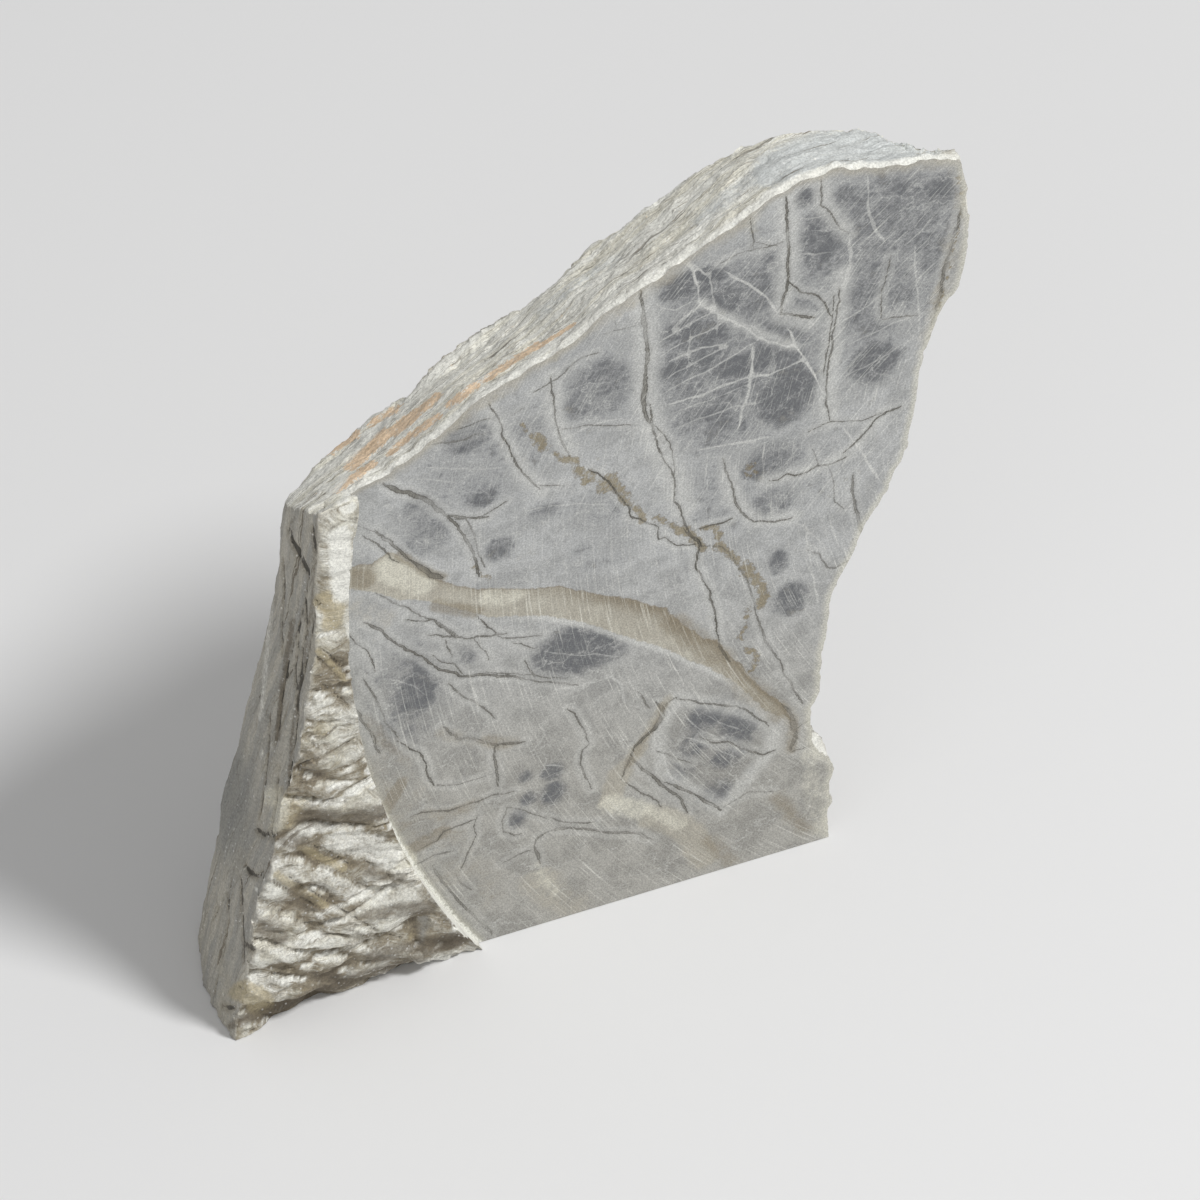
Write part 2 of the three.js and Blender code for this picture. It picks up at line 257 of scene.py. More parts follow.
# Pale healed veins: half width in mm, paleness, points.
VEINS = (
    (0.4, 0.9, ((102, 58), (106, 55), (109, 50), (110, 45), (111, 40), (112, 36), (115, 32), (118, 28),
                 (121, 25), (124, 22), (127, 19), (130, 15), (134, 11), (138, 8), (143.5, 5))),
    (0.35, 0.7, ((107, 56), (114, 46))),
    (0.45, 0.8, ((118, 48), (122, 43), (127, 38), (131, 33), (134, 28), (137, 22))),
    (0.4, 0.6, ((96, 42), (100, 38), (103, 36), (111, 38))),
    (0.5, 0.95, ((140, 15), (142, 9), (144, 4), (146, -1), (148, -6), (150, -12), (153, -20))),
    (0.6, 0.8, ((129, 12), (129, 5), (128, -3), (127, -10), (125, -15), (124, -23))),
    (0.45, 0.8, ((100, -3), (112, -3), (118, -2), (129, -1.5), (134, -3), (146, -1.5))),
    (0.4, 0.7, ((100, 15), (106, 16), (113, 16.5), (120, 15.5))),
    (0.6, 0.55, ((166, 60), (167, 50), (169, 44), (172, 38))),
    (0.6, 0.6, ((160, 46), (161, 38), (160, 30), (158.5, 24), (157, 18))),
    (0.4, 0.6, ((182, 35), (182, 20), (183, 10), (184, -8))),
    (0.5, 0.7, ((110, -26), (124, -28), (135, -30))),
    (0.45, 0.85, ((158, -34), (161, -40), (164, -46), (167, -53), (171, -63))),
    (0.35, 0.7, ((146, -70), (148, -86), (150, -102), (151, -108))),
    (0.3, 0.55, ((142, -69), (146, -72), (153, -84))),
    (0.3, 0.5, ((121, -51), (128, -52))),
    (0.35, 0.6, ((59, -141), (63, -142.5), (67, -145))),
    (0.4, 0.6, ((97, -141), (97, -147), (99, -152), (101, -159), (103, -166))),
    (0.4, 0.6, ((64, -5), (72, -3), (80, -2), (88, -3))),
    (0.5, 0.6, ((101, 28), (108, 33), (114, 36))),
    (0.35, 0.6, ((99, 8), (106, 10), (114, 13), (121, 14))),
    (0.35, 0.5, ((103, -14), (112, -13), (122, -12), (132, -14))),
    (0.35, 0.5, ((20, 2), (28, -2), (38, -6), (47, -9))),
    (0.35, 0.5, ((52, -30), (62, -31), (72, -34), (82, -38))),
    (0.5, 0.55, ((62, -110), (72, -112), (82, -112), (86, -117), (87, -125))),
    (0.4, 0.5, ((118, -97), (124, -108), (127, -118))),
    (0.35, 0.7, ((97, 24), (104, 27), (110, 29), (117, 31))),
    (0.35, 0.7, ((97, 18), (105, 21), (113, 23), (120, 25))),
    (0.35, 0.75, ((98, 2), (107, 5), (116, 7), (126, 11), (131, 13))),
    (0.3, 0.6, ((99, -8), (108, -7), (117, -6), (126, -5))),
    (0.3, 0.6, ((115, 50), (115, 43), (116, 35), (117, 28), (117, 20))),
    (0.3, 0.6, ((108, 27), (108, 20), (107.5, 12))),
    (0.3, 0.55, ((141, 60), (147, 58), (153, 57))),
    (0.3, 0.55, ((143, 45), (149, 42), (155, 41))),
    (0.3, 0.6, ((166, 70), (166.5, 62), (166, 55))),
    (0.35, 0.6, ((148, 6), (156, 9), (166, 13), (172, 17))),
    (0.3, 0.55, ((157, -2), (166, 1), (175, 3), (184, 4))),
    (0.3, 0.5, ((156, -14), (166, -12), (176, -8), (184, -6))),
    (0.3, 0.5, ((16, -2), (24, -5), (33, -10))),
    (0.3, 0.5, ((56, 12), (62, 13), (66, 15))),
    (0.3, 0.5, ((104, -136), (109, -142), (113, -148), (118, -152))),
    (0.3, 0.5, ((104, -146), (110, -150), (116, -156), (124, -163))),
    (0.3, 0.5, ((112, -139), (118, -146), (126, -152))),
    (0.3, 0.5, ((8, -84), (15, -88), (22, -96))),
    (0.3, 0.5, ((60, -92), (68, -97), (78, -101), (86, -105))),
)

# Cracks that lie in a pale healed zone: reach in mm, points.
HALOS = (
    (4.5, ((92, 49), (93, 35), (94.3, 22), (93.5, 3), (95, -8), (98, -20), (103, -35), (106, -50))),
    (4.0, ((139.5, 70), (140.5, 48), (140, 36), (138, 21), (148, 14))),
    (3.6, ((158.5, 30), (157, 19), (155, 5), (153, -17), (154, -31))),
    (3.0, ((151, 73), (152, 61), (160, 46))),
    (3.0, ((120, -40), (123, -53), (130, -64), (142, -67))),
    (3.0, ((134, -48), (147, -49), (160, -47), (172, -34))),
    (3.2, ((63, 24), (64, 6), (69, -13))),
    (3.0, ((42, 20), (47, 5), (53, -13), (60, -24))),
    (1.8, ((112, 36), (124, 22), (143, 5))),
    (3.0, ((104, -130), (116, -137), (128, -145), (136, -155), (136, -164), (119, -184), (99, -160),
               (98, -142),
           (104, -130))),
)

# The beige band that crosses the face: its upper and its lower edge.
BAND_TOP = (
    (-6, -32), (1, -32), (4, -33.5), (6.5, -31.5), (9, -30.5), (12, -32.5), (16, -37.5), (20, -42.5),
    (24, -47), (28, -50.5), (33, -54), (38, -57),
    (46, -60), (50, -62), (55, -64), (60, -65), (65, -66.5), (70, -70), (75, -73), (80, -76.5), (85, -79),
    (90, -82), (95, -86), (100, -90), (103, -94), (106, -99), (110, -104), (113, -108), (117, -110),
    (121, -118), (125, -124), (128, -130), (132, -137), (136, -142), (139, -146), (142, -155),
)
BAND_FOOT = (
    (-9, -41), (-3, -41), (5, -46), (12, -51), (20, -55), (25, -58), (30, -62), (35, -65), (39, -68),
    (42, -71),
    (48, -73), (55, -75), (60, -77), (65, -80), (70, -83), (75, -87), (80, -91), (85, -95), (90, -99),
    (95, -103), (100, -107), (105, -112), (110, -117), (115, -121), (119, -126), (123, -130), (130, -141),
    (133, -147), (142, -155),
)

# Stains: name of the stain: (half width in mm, softness in mm, strength, points).
STAINS = {
    "umber_and_shade": (
        (3.4, 2.5, 1.0, ((-3, -36), (2, -39))),
        (2.2, 1.5, 0.9, ((25, -59), (31, -63), (38, -66.5))),
        (3.5, 4, 0.8, ((103, -97), (112, -110), (120, -119))),
        (3.5, 4, 0.75, ((122, -124), (129, -136), (138, -149))),
        (1.6, 1.2, 0.9, ((13, -33), (17, -38), (21, -43), (27, -48))),
        (9, 9, 0.35, ((7, -122), (19, -152), (36, -186))),
        (2.6, 1.2, 1.0, ((18, -160), (24, -158), (27, -157))),
        (2.2, 1.2, 1.0, ((7, -142), (10, -137), (13, -131))),
        (2.2, 2, 0.6, ((12, -150), (20, -147), (29, -150), (38, -149))),
        (1.6, 1.5, 0.7, ((99, -131), (99, -136), (93, -143), (88, -152))),
        (1.8, 1.5, 0.7, ((139, -146), (143, -157), (142, -167))),
        (1.5, 5, 0.8, ((137, -186), (141, -193), (147, -203))),
        (2.5, 3, 0.6, ((115, -195), (119, -202), (122, -208))),
        (2.5, 2, 0.55, ((27, -114), (35, -121), (50, -128))),
        (2.0, 2, 0.5, ((2, -98), (7, -110), (14, -122))),
        (1.5, 1.5, 0.5, ((191, 20), (189, 5))),
        # The next eight, on the ledge, are painted shade mixed with brown clay: in its recesses, under a
        # cream spot and along its foot.
        (3.5, 4, 0.8, ((-18, -133), (-8, -138), (4, -140))),
        (3.0, 3, 0.8, ((-26, -138), (-20, -143))),
        (2.0, 2.5, 0.8, ((3, -164), (8, -169), (13, -172))),
        (2.5, 3, 0.75, ((-22, -163), (-17, -172))),
        (3.0, 3, 0.8, ((-32, -175), (-27, -182))),
        (3.0, 3, 0.8, ((1, -183), (12, -185), (22, -188))),
        (3.0, 3, 0.85, ((4, -202), (18, -204), (32, -206))),
        (2.0, 3, 0.9, ((-42, -213), (-20, -211), (0, -209), (20, -209))),
        (0.6, 0.8, 0.8, ((-12, -180), (-4, -187), (2, -193))),
        (0.45, 0.6, 0.9, ((-21, -147.5), (-14, -155.5), (-6, -162.5))),
        (0.45, 0.6, 0.9, ((-29, -156.5), (-21, -166.5), (-12, -176.5))),
        (0.5, 0.8, 0.9, ((-22, -110), (-14, -110), (-5, -106))),
        (0.5, 0.8, 0.9, ((-18, -98), (-12, -101), (-8, -98))),
        # Painted shade: the crease under a cream lump at the top of the side.
        (0.6, 1.0, 0.7, ((-9, -13), (-4, -11), (-1, -12))),
        (0.9, 0.9, 0.85, ((-22, -47), (-24, -60), (-25.5, -72), (-27.5, -96))),
        (0.5, 0.7, 0.7, ((-14, -20), (-16, -45), (-19, -70), (-22.5, -95), (-24, -120))),
    ),
    "beige": (
        (1.5, 1.2, 1.0, ((101, -129), (98, -134), (95, -140), (92, -146))),
        (2.6, 1.5, 1.0, ((92, -146), (88, -151), (85.5, -155))),
        (3.6, 2, 1.0, ((85.5, -155), (83.5, -160), (82, -165))),
        (5.0, 5, 0.6, ((58, -190), (64, -200), (70, -206))),
        (4.2, 3, 0.95, ((96, -178), (103, -184), (109, -191), (113, -202))),
        (4.0, 4, 0.45, ((0, -50), (8, -58))),
        (3.5, 3, 0.5, ((192, 66), (197, 60), (198, 45), (194, 20), (187, -8))),
        (2.5, 3, 0.5, ((145, 74), (155, 74), (165, 71), (180, 67), (197, 63))),
        (2.0, 3, 0.5, ((10, 1), (40, 20), (70, 35), (100, 50), (130, 66))),
        (3.0, 2.5, 1.0, ((-12, -42), (-8, -48), (-9, -53))),
        (3.5, 3, 1.0, ((-40, -199), (-35, -204), (-33, -209))),
        (1.3, 0.8, 1.0, ((-20, -145), (-13, -153), (-6, -160))),
        (1.3, 0.8, 1.0, ((-28, -154), (-20, -164), (-12, -174))),
        (1.0, 1.0, 0.8, ((-14, -63), (-9, -71), (-5, -79))),
        (4.0, 4.0, 0.6, ((-28, -120), (-22, -128), (-26, -134))),
    ),
    "cream": (
        (3.2, 2.5, 1.0, ((8.5, -158), (12, -161), (14.5, -165))),
        (3.0, 3.2, 0.95, ((82, -166.5), (87, -170), (92, -174))),
        (2.0, 3.2, 0.7, ((92, -174), (99, -179), (105, -185))),
        (1.0, 4, 0.6, ((58, -184), (60, -191), (64, -198))),
        (4.5, 3.5, 0.9, ((9, -37), (16, -44), (20, -48))),
        (3.0, 3, 0.9, ((42, -62), (50, -65.5))),
        (3.0, 3, 0.5, ((148, -172), (150, -195), (153, -205))),
        (2.5, 2, 0.9, ((-6, -2), (-3, -5))),
        (2.5, 3, 0.8, ((-30, -118), (-26, -126), (-28, -134))),
    ),
    "white": (
        (3.2, 3, 1.0, ((-6.5, -17), (-6, -30), (-5, -42))),
        (2.2, 2, 0.8, ((-5, -3), (-3, -7))),
        (1.5, 2, 0.8, ((-3, -56), (-2, -62))),
        (1.5, 1.5, 0.8, ((-12, 6), (-8, 3), (-5, 7))),
        (1.3, 1.5, 0.7, ((-4, 14), (2, 20), (9, 26))),
        (0.8, 1.5, 0.55, ((-28, -12), (-29.5, -35), (-31, -60), (-33, -85))),
        (4.5, 4.5, 0.75, ((-8, -147), (2, -153), (9, -161))),
        (3, 4, 0.6, ((-14, -160), (-4, -170), (6, -178))),
    ),
    "frost": (
        (7, 6, 1.0, ((136, 84), (150, 86), (166, 82), (182, 72))),
        (3, 5, 0.6, ((112, 72), (124, 80), (134, 84))),
        (2, 4, 0.6, ((60, 52), (72, 60), (84, 66))),
    ),
    "orange": (
        (2.6, 2.0, 1.0, ((-2, 12), (3, 16), (8, 20))),
        (2.2, 1.8, 1.0, ((12, 21), (18, 25))),
        (1.8, 1.6, 0.8, ((20, 26), (25, 30))),
        (2.0, 2.0, 0.8, ((-9, 21), (-2, 24))),
        (1.6, 1.8, 0.7, ((4, 27), (12, 30))),
        (1.6, 1.6, 0.9, ((-7, 3), (-2, 6), (4, 9))),
        (1.4, 1.6, 0.8, ((10, 12), (16, 16), (26, 21))),
        (1.6, 1.6, 0.8, ((30, 25), (38, 29))),
        (1.4, 1.6, 0.8, ((42, 31), (50, 35), (58, 39))),
        (0.7, 0.8, 1.0, ((58, 37.5), (66, 41), (70, 43))),
    ),
    "rust": (
        (0.5, 1.0, 0.8, ((52, 8), (55, 4), (57, 0), (59, -4), (62, -7), (65, -10), (67, -13), (69, -16),
                         (72, -20))),
        (1.3, 1.6, 1.0, ((58, 0), (60, -5))),
        (1.0, 1.5, 0.9, ((66, -12), (70, -15), (72, -21), (74, -25))),
        (0.8, 1.4, 0.8, ((76, -22), (78, -28), (80, -32))),
        (1.5, 1.8, 0.95, ((82, -27), (84, -32), (87, -38))),
        (0.9, 1.2, 0.9, ((89, -40), (91, -44), (93, -49))),
        (0.8, 1.2, 1.0, ((97, -50), (101, -53), (104, -57), (109, -62))),
        (0.9, 1.2, 1.1, ((106, -57), (110, -63), (113, -70))),
        (0.8, 1.2, 0.9, ((113, -60), (117, -61), (118, -67))),
        (0.9, 1.3, 0.9, ((117, -69), (121, -74), (126, -81))),
        (1.4, 1.6, 1.0, ((126, -82), (130, -89), (133, -95), (132, -101))),
        (0.4, 0.9, 0.8, ((128, -100), (127, -107), (125, -113))),
        (0.6, 1.2, 0.9, ((127, -117), (130.5, -122), (129, -128))),
        (1.2, 2.0, 0.7, ((128, -40), (129, -43))),
        (0.4, 0.9, 0.6, ((36, -44), (39, -50), (43, -56))),
        (0.1, 0.7, 0.8, ((196, 60), (197.5, 45), (195, 28), (191, 8), (187, -8))),
    ),
}

# Dark grey blotches in the middle of the cells: from x, to x, from z, to z, strength.
BLOTCHES = (
    (94, 154, -30, 54, 0.65), (142, 200, -6, 76, 0.6), (100, 160, -66, -22, 0.3), (18, 64, -26, 20, 0.35),
    (56, 94, -12, 34, 0.3), (0, 30, -118, -70, 0.45), (96, 134, -182, -132, 0.4),
    (97, 122, 39, 51, 1.0), (112, 127, 27, 41, 1.0), (98, 113, 23, 31, 1.0), (110, 122, 16, 24, 0.9),
    (98, 121, 7, 15, 1.0), (112, 144, -1, 10, 1.0), (104, 126, -16, -4, 0.8), (128, 151, -26, -1, 1.0),
    (131, 138, 34, 51, 0.7), (142, 149, 63, 71, 1.0), (143, 158, 34, 61, 0.9), (155, 162, 57, 68, 0.8),
    (160, 177, -21, -2, 0.9), (166, 190, 45, 64, 0.7), (184, 196, 44, 61, 0.9), (172, 190, 12, 42, 0.5),
    (124, 146, -49, -31, 0.7), (126, 144, -65, -51, 0.6), (134, 141, -89, -79, 0.8),
    (136, 148, -108, -95, 0.9),
    (27, 45, 1, 16, 0.8), (35, 45, -23, -15, 0.8), (14, 26, -23, -9, 0.7), (66, 91, -1, 26, 0.65),
    (49, 63, 1, 9, 0.5), (14, 31, -36, -21, 0.6), (40, 51, -48, -37, 0.6), (54, 66, -37, -29, 0.5),
    (10, 26, -106, -81, 0.8), (56, 87, -107, -86, 1.0), (29, 39, -89, -79, 0.5), (107, 121, -147, -135, 0.9),
    (117, 132, -156, -142, 0.95), (103, 116, -158, -147, 0.7), (114, 128, -168, -157, 0.75),
    (99, 112, -168, -158, 0.6), (110, 124, -181, -169, 0.7), (51.5, 56.5, -146.5, -141.5, 0.9),
    (59, 67, -149, -141, 0.9), (58.5, 67.5, -160, -150, 0.9), (52, 58, -157, -151, 0.9),
    (47, 55, -165, -157, 0.8),
    (66, 90, -48, -30, 0.35), (144, 160, -4, 18, 0.5), (66, 90, -66, -48, 0.25),
    (-50, -36, -142, -92, 1.0),
)


# ------------------------------------------------------------------ sizes and colours a user may change


def length_property(name, description, default):
    return bpy.props.FloatProperty(
        name=name, description=description, default=default, min=0.0, unit="LENGTH", subtype="DISTANCE"
    )


def colour_property(name, description, default):
    return bpy.props.FloatVectorProperty(
        name=name, description=description, default=default, size=3, min=0.0, max=1.0, subtype="COLOR"
    )


class StoneSizes(bpy.types.PropertyGroup):
    """Sizes of the carved stone."""

    grid: length_property("Skin grid", "Spacing of the mesh on the natural skin", 2.0 * MM)
    face_grid: length_property("Face grid", "Spacing of the mesh on the sawn face", 1.7 * MM)
    vein_step: length_property("Vein step", "Spacing of the points along a vein", 1.0 * MM)
    spare: length_property("Spare stone", "Stone left in front of the saw cut and under the foot", 8.0 * MM)
    chip: length_property("Chip depth", "Depth of the chips along the top of the saw cut", 2.2 * MM)
    groove: length_property("Crack groove", "Depth of the widest cracks in the sawn face", 0.35 * MM)


class StoneColours(bpy.types.PropertyGroup):
    """Colours of the stone."""

    grey: colour_property("Grey", "Sawn alabaster", (0.43, 0.435, 0.43))
    warm: colour_property("Warm grey", "Sawn alabaster at the lower left", (0.37, 0.36, 0.328))
    dark: colour_property("Dark grey", "Blotches in the middle of the cells", (0.12, 0.125, 0.133))
    pale: colour_property("Pale", "Healed veins and their halos", (0.62, 0.62, 0.59))
    line: colour_property("Crack line", "The dark edges of a crack", (0.05, 0.045, 0.035))
    crack: colour_property("Crack filling", "Clay in the wide cracks", (0.115, 0.106, 0.083))
    beige: colour_property("Beige", "The band across the sawn face", (0.42, 0.39, 0.32))
    cream: colour_property("Cream", "The palest part of the band", (0.68, 0.66, 0.56))
    # Umber also paints shade in the ledge's hollows and recesses.
    umber_and_shade: colour_property("Umber", "The darkest part of the band", (0.22, 0.18, 0.115))
    rust: colour_property("Rust", "Rust stains", (0.205, 0.155, 0.06))
    white: colour_property("White", "Crushed and freshly broken stone", (0.89, 0.885, 0.82))
    skin: colour_property("Skin", "Natural top", (0.83, 0.805, 0.69))
    side: colour_property("Side", "Weathered side", (0.5, 0.475, 0.41))
    # Slate is also the grey of the painted shade in the ledge's hollows.
    slate_and_shade: colour_property("Slate", "Blue grey places on the skin", (0.25, 0.25, 0.235))
    honey: colour_property("Honey", "Stained hollows of the broken stone", (0.46, 0.39, 0.24))
    # Mud is also the painted shade of the deepest hollows and of the ledge's recesses.
    mud_and_shade: colour_property("Mud", "The deepest hollows", (0.14, 0.115, 0.08))
    orange: colour_property("Orange", "Iron stain on the top", (0.84, 0.62, 0.41))
    frost: colour_property("Frost", "Blue white places on the top", (0.66, 0.69, 0.69))


# ------------------------------------------------------------------ small helpers


def only(item):
    """Selects one object and makes it the active one."""
    bpy.ops.object.select_all(action="DESELECT")
    item.select_set(True)
    bpy.context.view_layer.objects.active = item


def smooth(value, start, end):
    """0 at start and 1 at end, with a soft turn at both, for numbers and for arrays."""
    share = np.clip((value - start) / (end - start), 0.0, 1.0)
    return share * share * (3 - 2 * share)


def face_places(points):
    """Row-frame points as millimetres from the sawn face's top left corner: x, depth, z."""
    return (points - np.array((FACE_LEFT, SAWN_PLANE, FACE_TOP))) / MM


def toward_viewer():
    turn, rise = math.radians(VIEW_TURN), math.radians(VIEW_RISE)
    return Vector((math.sin(turn) * math.cos(rise), -math.cos(turn) * math.cos(rise), math.sin(rise)))


def stencil_places(places):
    """Where the viewer sees each place against the sawn plane: x and z."""
    sight = np.array(toward_viewer())
    along = -places[:, 1] / sight[1]
    return places[:, [0, 2]] + along[:, None] * sight[[0, 2]]


def side_metric():
    """Turns steps in x and z, seen against the sawn plane, into true lengths on the upright left side."""
    across, toward, up = toward_viewer()
    deeper = toward / across
    return np.array(((deeper, up / toward * deeper), (0, 1)))


def coordinates(mesh):
    found = np.empty(len(mesh.vertices) * 3)
    mesh.vertices.foreach_get("co", found)
    return found.reshape(-1, 3)


def normals(mesh):
    found = np.empty(len(mesh.vertices) * 3)
    mesh.vertices.foreach_get("normal", found)
    return found.reshape(-1, 3)


def store(mesh, name, values):
    """Keeps one number for each vertex, for the materials to read."""
    layer = mesh.attributes.new(name, "FLOAT", "POINT")
    layer.data.foreach_set("value", np.asarray(values, np.float32))


# ------------------------------------------------------------------ the whole block


def select_faces(mesh, wanted):
    """In edit mode, selects the faces for which wanted(face) is true, and nothing else."""
    bpy.ops.mesh.select_all(action="DESELECT")
    edited = bmesh.from_edit_mesh(mesh)
    edited.faces.ensure_lookup_table()
    for face in edited.faces:
        face.select_set(wanted(face))
    bmesh.update_edit_mesh(mesh)


def is_sawn(face):
    return face.normal.y < -0.99 and abs(face.calc_center_median().y - SAWN_PLANE) < 0.05 * MM


def is_foot(face):
    return face.normal.z < -0.99 and face.calc_center_median().z < 0.05 * MM


def whole_block(sizes):
    """The stone before it was sawn: the solid, with spare stone on its sawn face and foot."""
    stone = bpy.data.objects.new("alabaster_stone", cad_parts[NODE].data.copy())
    stone.data.materials.clear()
    bpy.context.scene.collection.objects.link(stone)
    only(stone)
    bpy.ops.object.mode_set(mode="EDIT")
    bpy.ops.mesh.select_all(action="SELECT")
    bpy.ops.mesh.remove_doubles(threshold=0.005 * MM)
    select_faces(stone.data, is_sawn)
    bpy.ops.mesh.extrude_region_move(TRANSFORM_OT_translate={"value": (0, -sizes.spare, 0)})
    select_faces(stone.data, is_foot)
    bpy.ops.mesh.extrude_region_move(TRANSFORM_OT_translate={"value": (0, 0, -sizes.spare)})
    bpy.ops.object.mode_set(mode="OBJECT")
    return stone


def remesh(stone, sizes):
    only(stone)
    bpy.ops.object.modifier_add(type="REMESH")
    grid = stone.modifiers[-1]
    grid.mode = "VOXEL"
    grid.voxel_size = sizes.grid
    bpy.ops.object.modifier_apply(modifier=grid.name)


def is_rough_front(face):
    """The skin that is seen from the front: the top, the left side and the ledge, but not the spare stone."""
    x, depth, z = (face.calc_center_median() - Vector((FACE_LEFT, SAWN_PLANE, FACE_TOP))) / MM
    from_centre = math.hypot(x - BLADE_CENTRE[0], z - BLADE_CENTRE[1])
    spare_front = from_centre < BLADE_RADIUS - 4 and depth < -2.5
    seen = face.normal.z > 0.25 or face.normal.x < -0.4 or face.normal.y < -0.5
    return seen and not spare_front and z > -FACE_TOP / MM - 2


def refine(stone):
    """Halves the mesh spacing where the skin is seen from the front."""
    only(stone)
    bpy.ops.object.mode_set(mode="EDIT")
    bpy.ops.mesh.select_mode(type="FACE")
    select_faces(stone.data, is_rough_front)
    bpy.ops.mesh.subdivide(number_cuts=1, quadcorner="INNERVERT")
    bpy.ops.object.mode_set(mode="OBJECT")


# ------------------------------------------------------------------ relief of the natural skin


def ridges(x, y, z, octaves):
    """Sharp crests and rounded hollows, about -1 to 1."""
    return noise.ridged_multi_fractal(Vector((x, y, z)), 1.0, 2.1, octaves, 1.0, 2.0) - 1.1


def rolls(x, y, z, octaves):
    """Soft uneven swells, about -1 to 1."""
    return noise.fractal(Vector((x, y, z)), 1.0, 2.1, octaves)


def plates(x, y, z):
    """Each flake of stone at its own level, -1 to 1, with a small step at its edge."""
    distances, centres = noise.voronoi(Vector((x, y, z)))
    level = noise.cell(centres[0] * 7.3) - noise.cell(centres[1] * 7.3)
    edge = min((distances[1] - distances[0]) / 0.18, 1.0)
    return 0.5 * level * edge + noise.cell(centres[0] * 7.3) * 0.5


def bedding_depth(x, y, z):
    """The level of a place in the stone's layers, in mm. They stand almost parallel to the sawn face."""
    warp = rolls(x / 90, y / 60, z / 90, 2)
    return y + BEDDING_LEAN[0] * x + BEDDING_LEAN[1] * z + 2.0 * warp


def ledge_relief(x, y, z):
    """Torn stone: folds and creases that run across, down to the right, and calmer near the top."""
    bend = 9.0 * rolls(x / 38, 4.0, z / 34, 2)
    along = x - 0.35 * z
    across = z + 0.35 * x + bend
    folds = 2.5 * rolls(along / 34, 2.2, across / 13, 2)
    crease = 1 - min(abs(rolls(along / 40, 6.4, across / 16, 2)) * 5, 1)
    fibres = 0.9 * ridges(along / 11, 7.1, across / 3.6, 2)
    crumbs = 0.5 * rolls(x / 3.2, y / 3.2, z / 2.4, 2)
    calm = 1 - 0.6 * float(smooth(z, -62, -48))
    return (folds - 2.0 * crease + fibres + crumbs) * calm


# Broad rises and dips of the top, which shape its skyline: place, depth, reach and height, in mm.
TOP_LUMPS = ((47, 36, 20, -2.5), (88, 36, 14, -2), (140, 34, 15, 2), (175, 24, 8, 1.2), (189, 11, 9, -3.5))


def roof_relief(x, y, z):
    """Edges of the layers, that run along the top."""
    broad = sum(
        rise * math.exp(-((x - at) ** 2 + (y - deep) ** 2) / reach ** 2)
        for at, deep, reach, rise in TOP_LUMPS
    )
    level = bedding_depth(x, y, z)
    layers = 0.6 * ridges(x / 30, level / 2.6, z / 30, 3)
    streaks = 0.35 * rolls(x / 12, level / 0.9, z / 12, 2)
    lumps = 0.9 * rolls(x / 7, y / 5, z / 7, 3)
    return broad + layers + streaks + lumps


def side_relief(x, y, z):
    """Weathered flakes and grooves, that run down the side."""
    level = bedding_depth(x, y, z)
    grooves = 0.45 * ridges(x / 40, level / 3.0, z / 45, 3)
    flakes = 0.5 * plates(x / 16, level / 7, z / 48)
    return grooves + flakes + 0.35 * rolls(x / 6, y / 6, z / 9, 3)


def back_relief(x, y, z):
    """A face where the stone has split along its layers and across them."""
    tilt = 0.3 * rolls(x / 60, 3.3, z / 60, 2)
    split = 2.2 * plates(x / 40 + tilt, 5.0, z / 60 - tilt)
    smaller = 0.8 * plates(x / 12 + tilt, 2.0, z / 26 + tilt)
    return split + smaller + 0.8 * ridges(x / 16, y / 16, z / 30, 4)


def right_relief(x, y, z):
    """Broken across the layers, in hollows and steps."""
    level = bedding_depth(x, y, z)
    hollows = 1.8 * plates(x / 26, y / 12, z / 26)
    layers = 0.8 * ridges(x / 30, level / 4.0, z / 24, 4)
    return hollows + layers + 0.6 * rolls(x / 5, y / 4, z / 6, 3)


def furthest_front(x, z):
    """How far the ledge may stand out from the sawn plane, in mm: its sharp tip at the foot is broken off."""
    return 3.2 + 10 * float(smooth(math.hypot(x - 38, z + 210), 0, 18))


def scallops(x):
    """Chips in a row along an edge: 0 between two chips, 1 at the middle of a deep one."""
    distances, centres = noise.voronoi(Vector((x / 5.5, 0.3, 0.7)))
    depth = 0.55 + 0.45 * noise.cell(centres[0] * 5.1)
    return depth * max(0.0, 1 - (distances[0] / 0.75) ** 2)


def chip_depth(x, depth, normal_z):
    """How far the top's front edge has broken away beside the saw cut, from 0 to 1."""
    width = 2.6 + 1.6 * noise.noise(Vector((x / 9, 8.8, 0)))
    beside = 1 - float(smooth(depth, 0.3, max(width, 1.0)))
    return beside * (0.35 + 0.65 * scallops(x)) * float(smooth(normal_z, 0.3, 0.6))


RELIEFS = (
    (ledge_relief, lambda n: smooth(-n[1], 0.45, 0.75)),
    (roof_relief, lambda n: smooth(n[2], 0.3, 0.6)),
    (side_relief, lambda n: smooth(-n[0], 0.4, 0.7)),
    (back_relief, lambda n: smooth(n[1], 0.45, 0.75)),
    (right_relief, lambda n: smooth(n[0], 0.4, 0.7)),
)
LEAN = 0.5  # the ledge's crests lean down by this share of their height


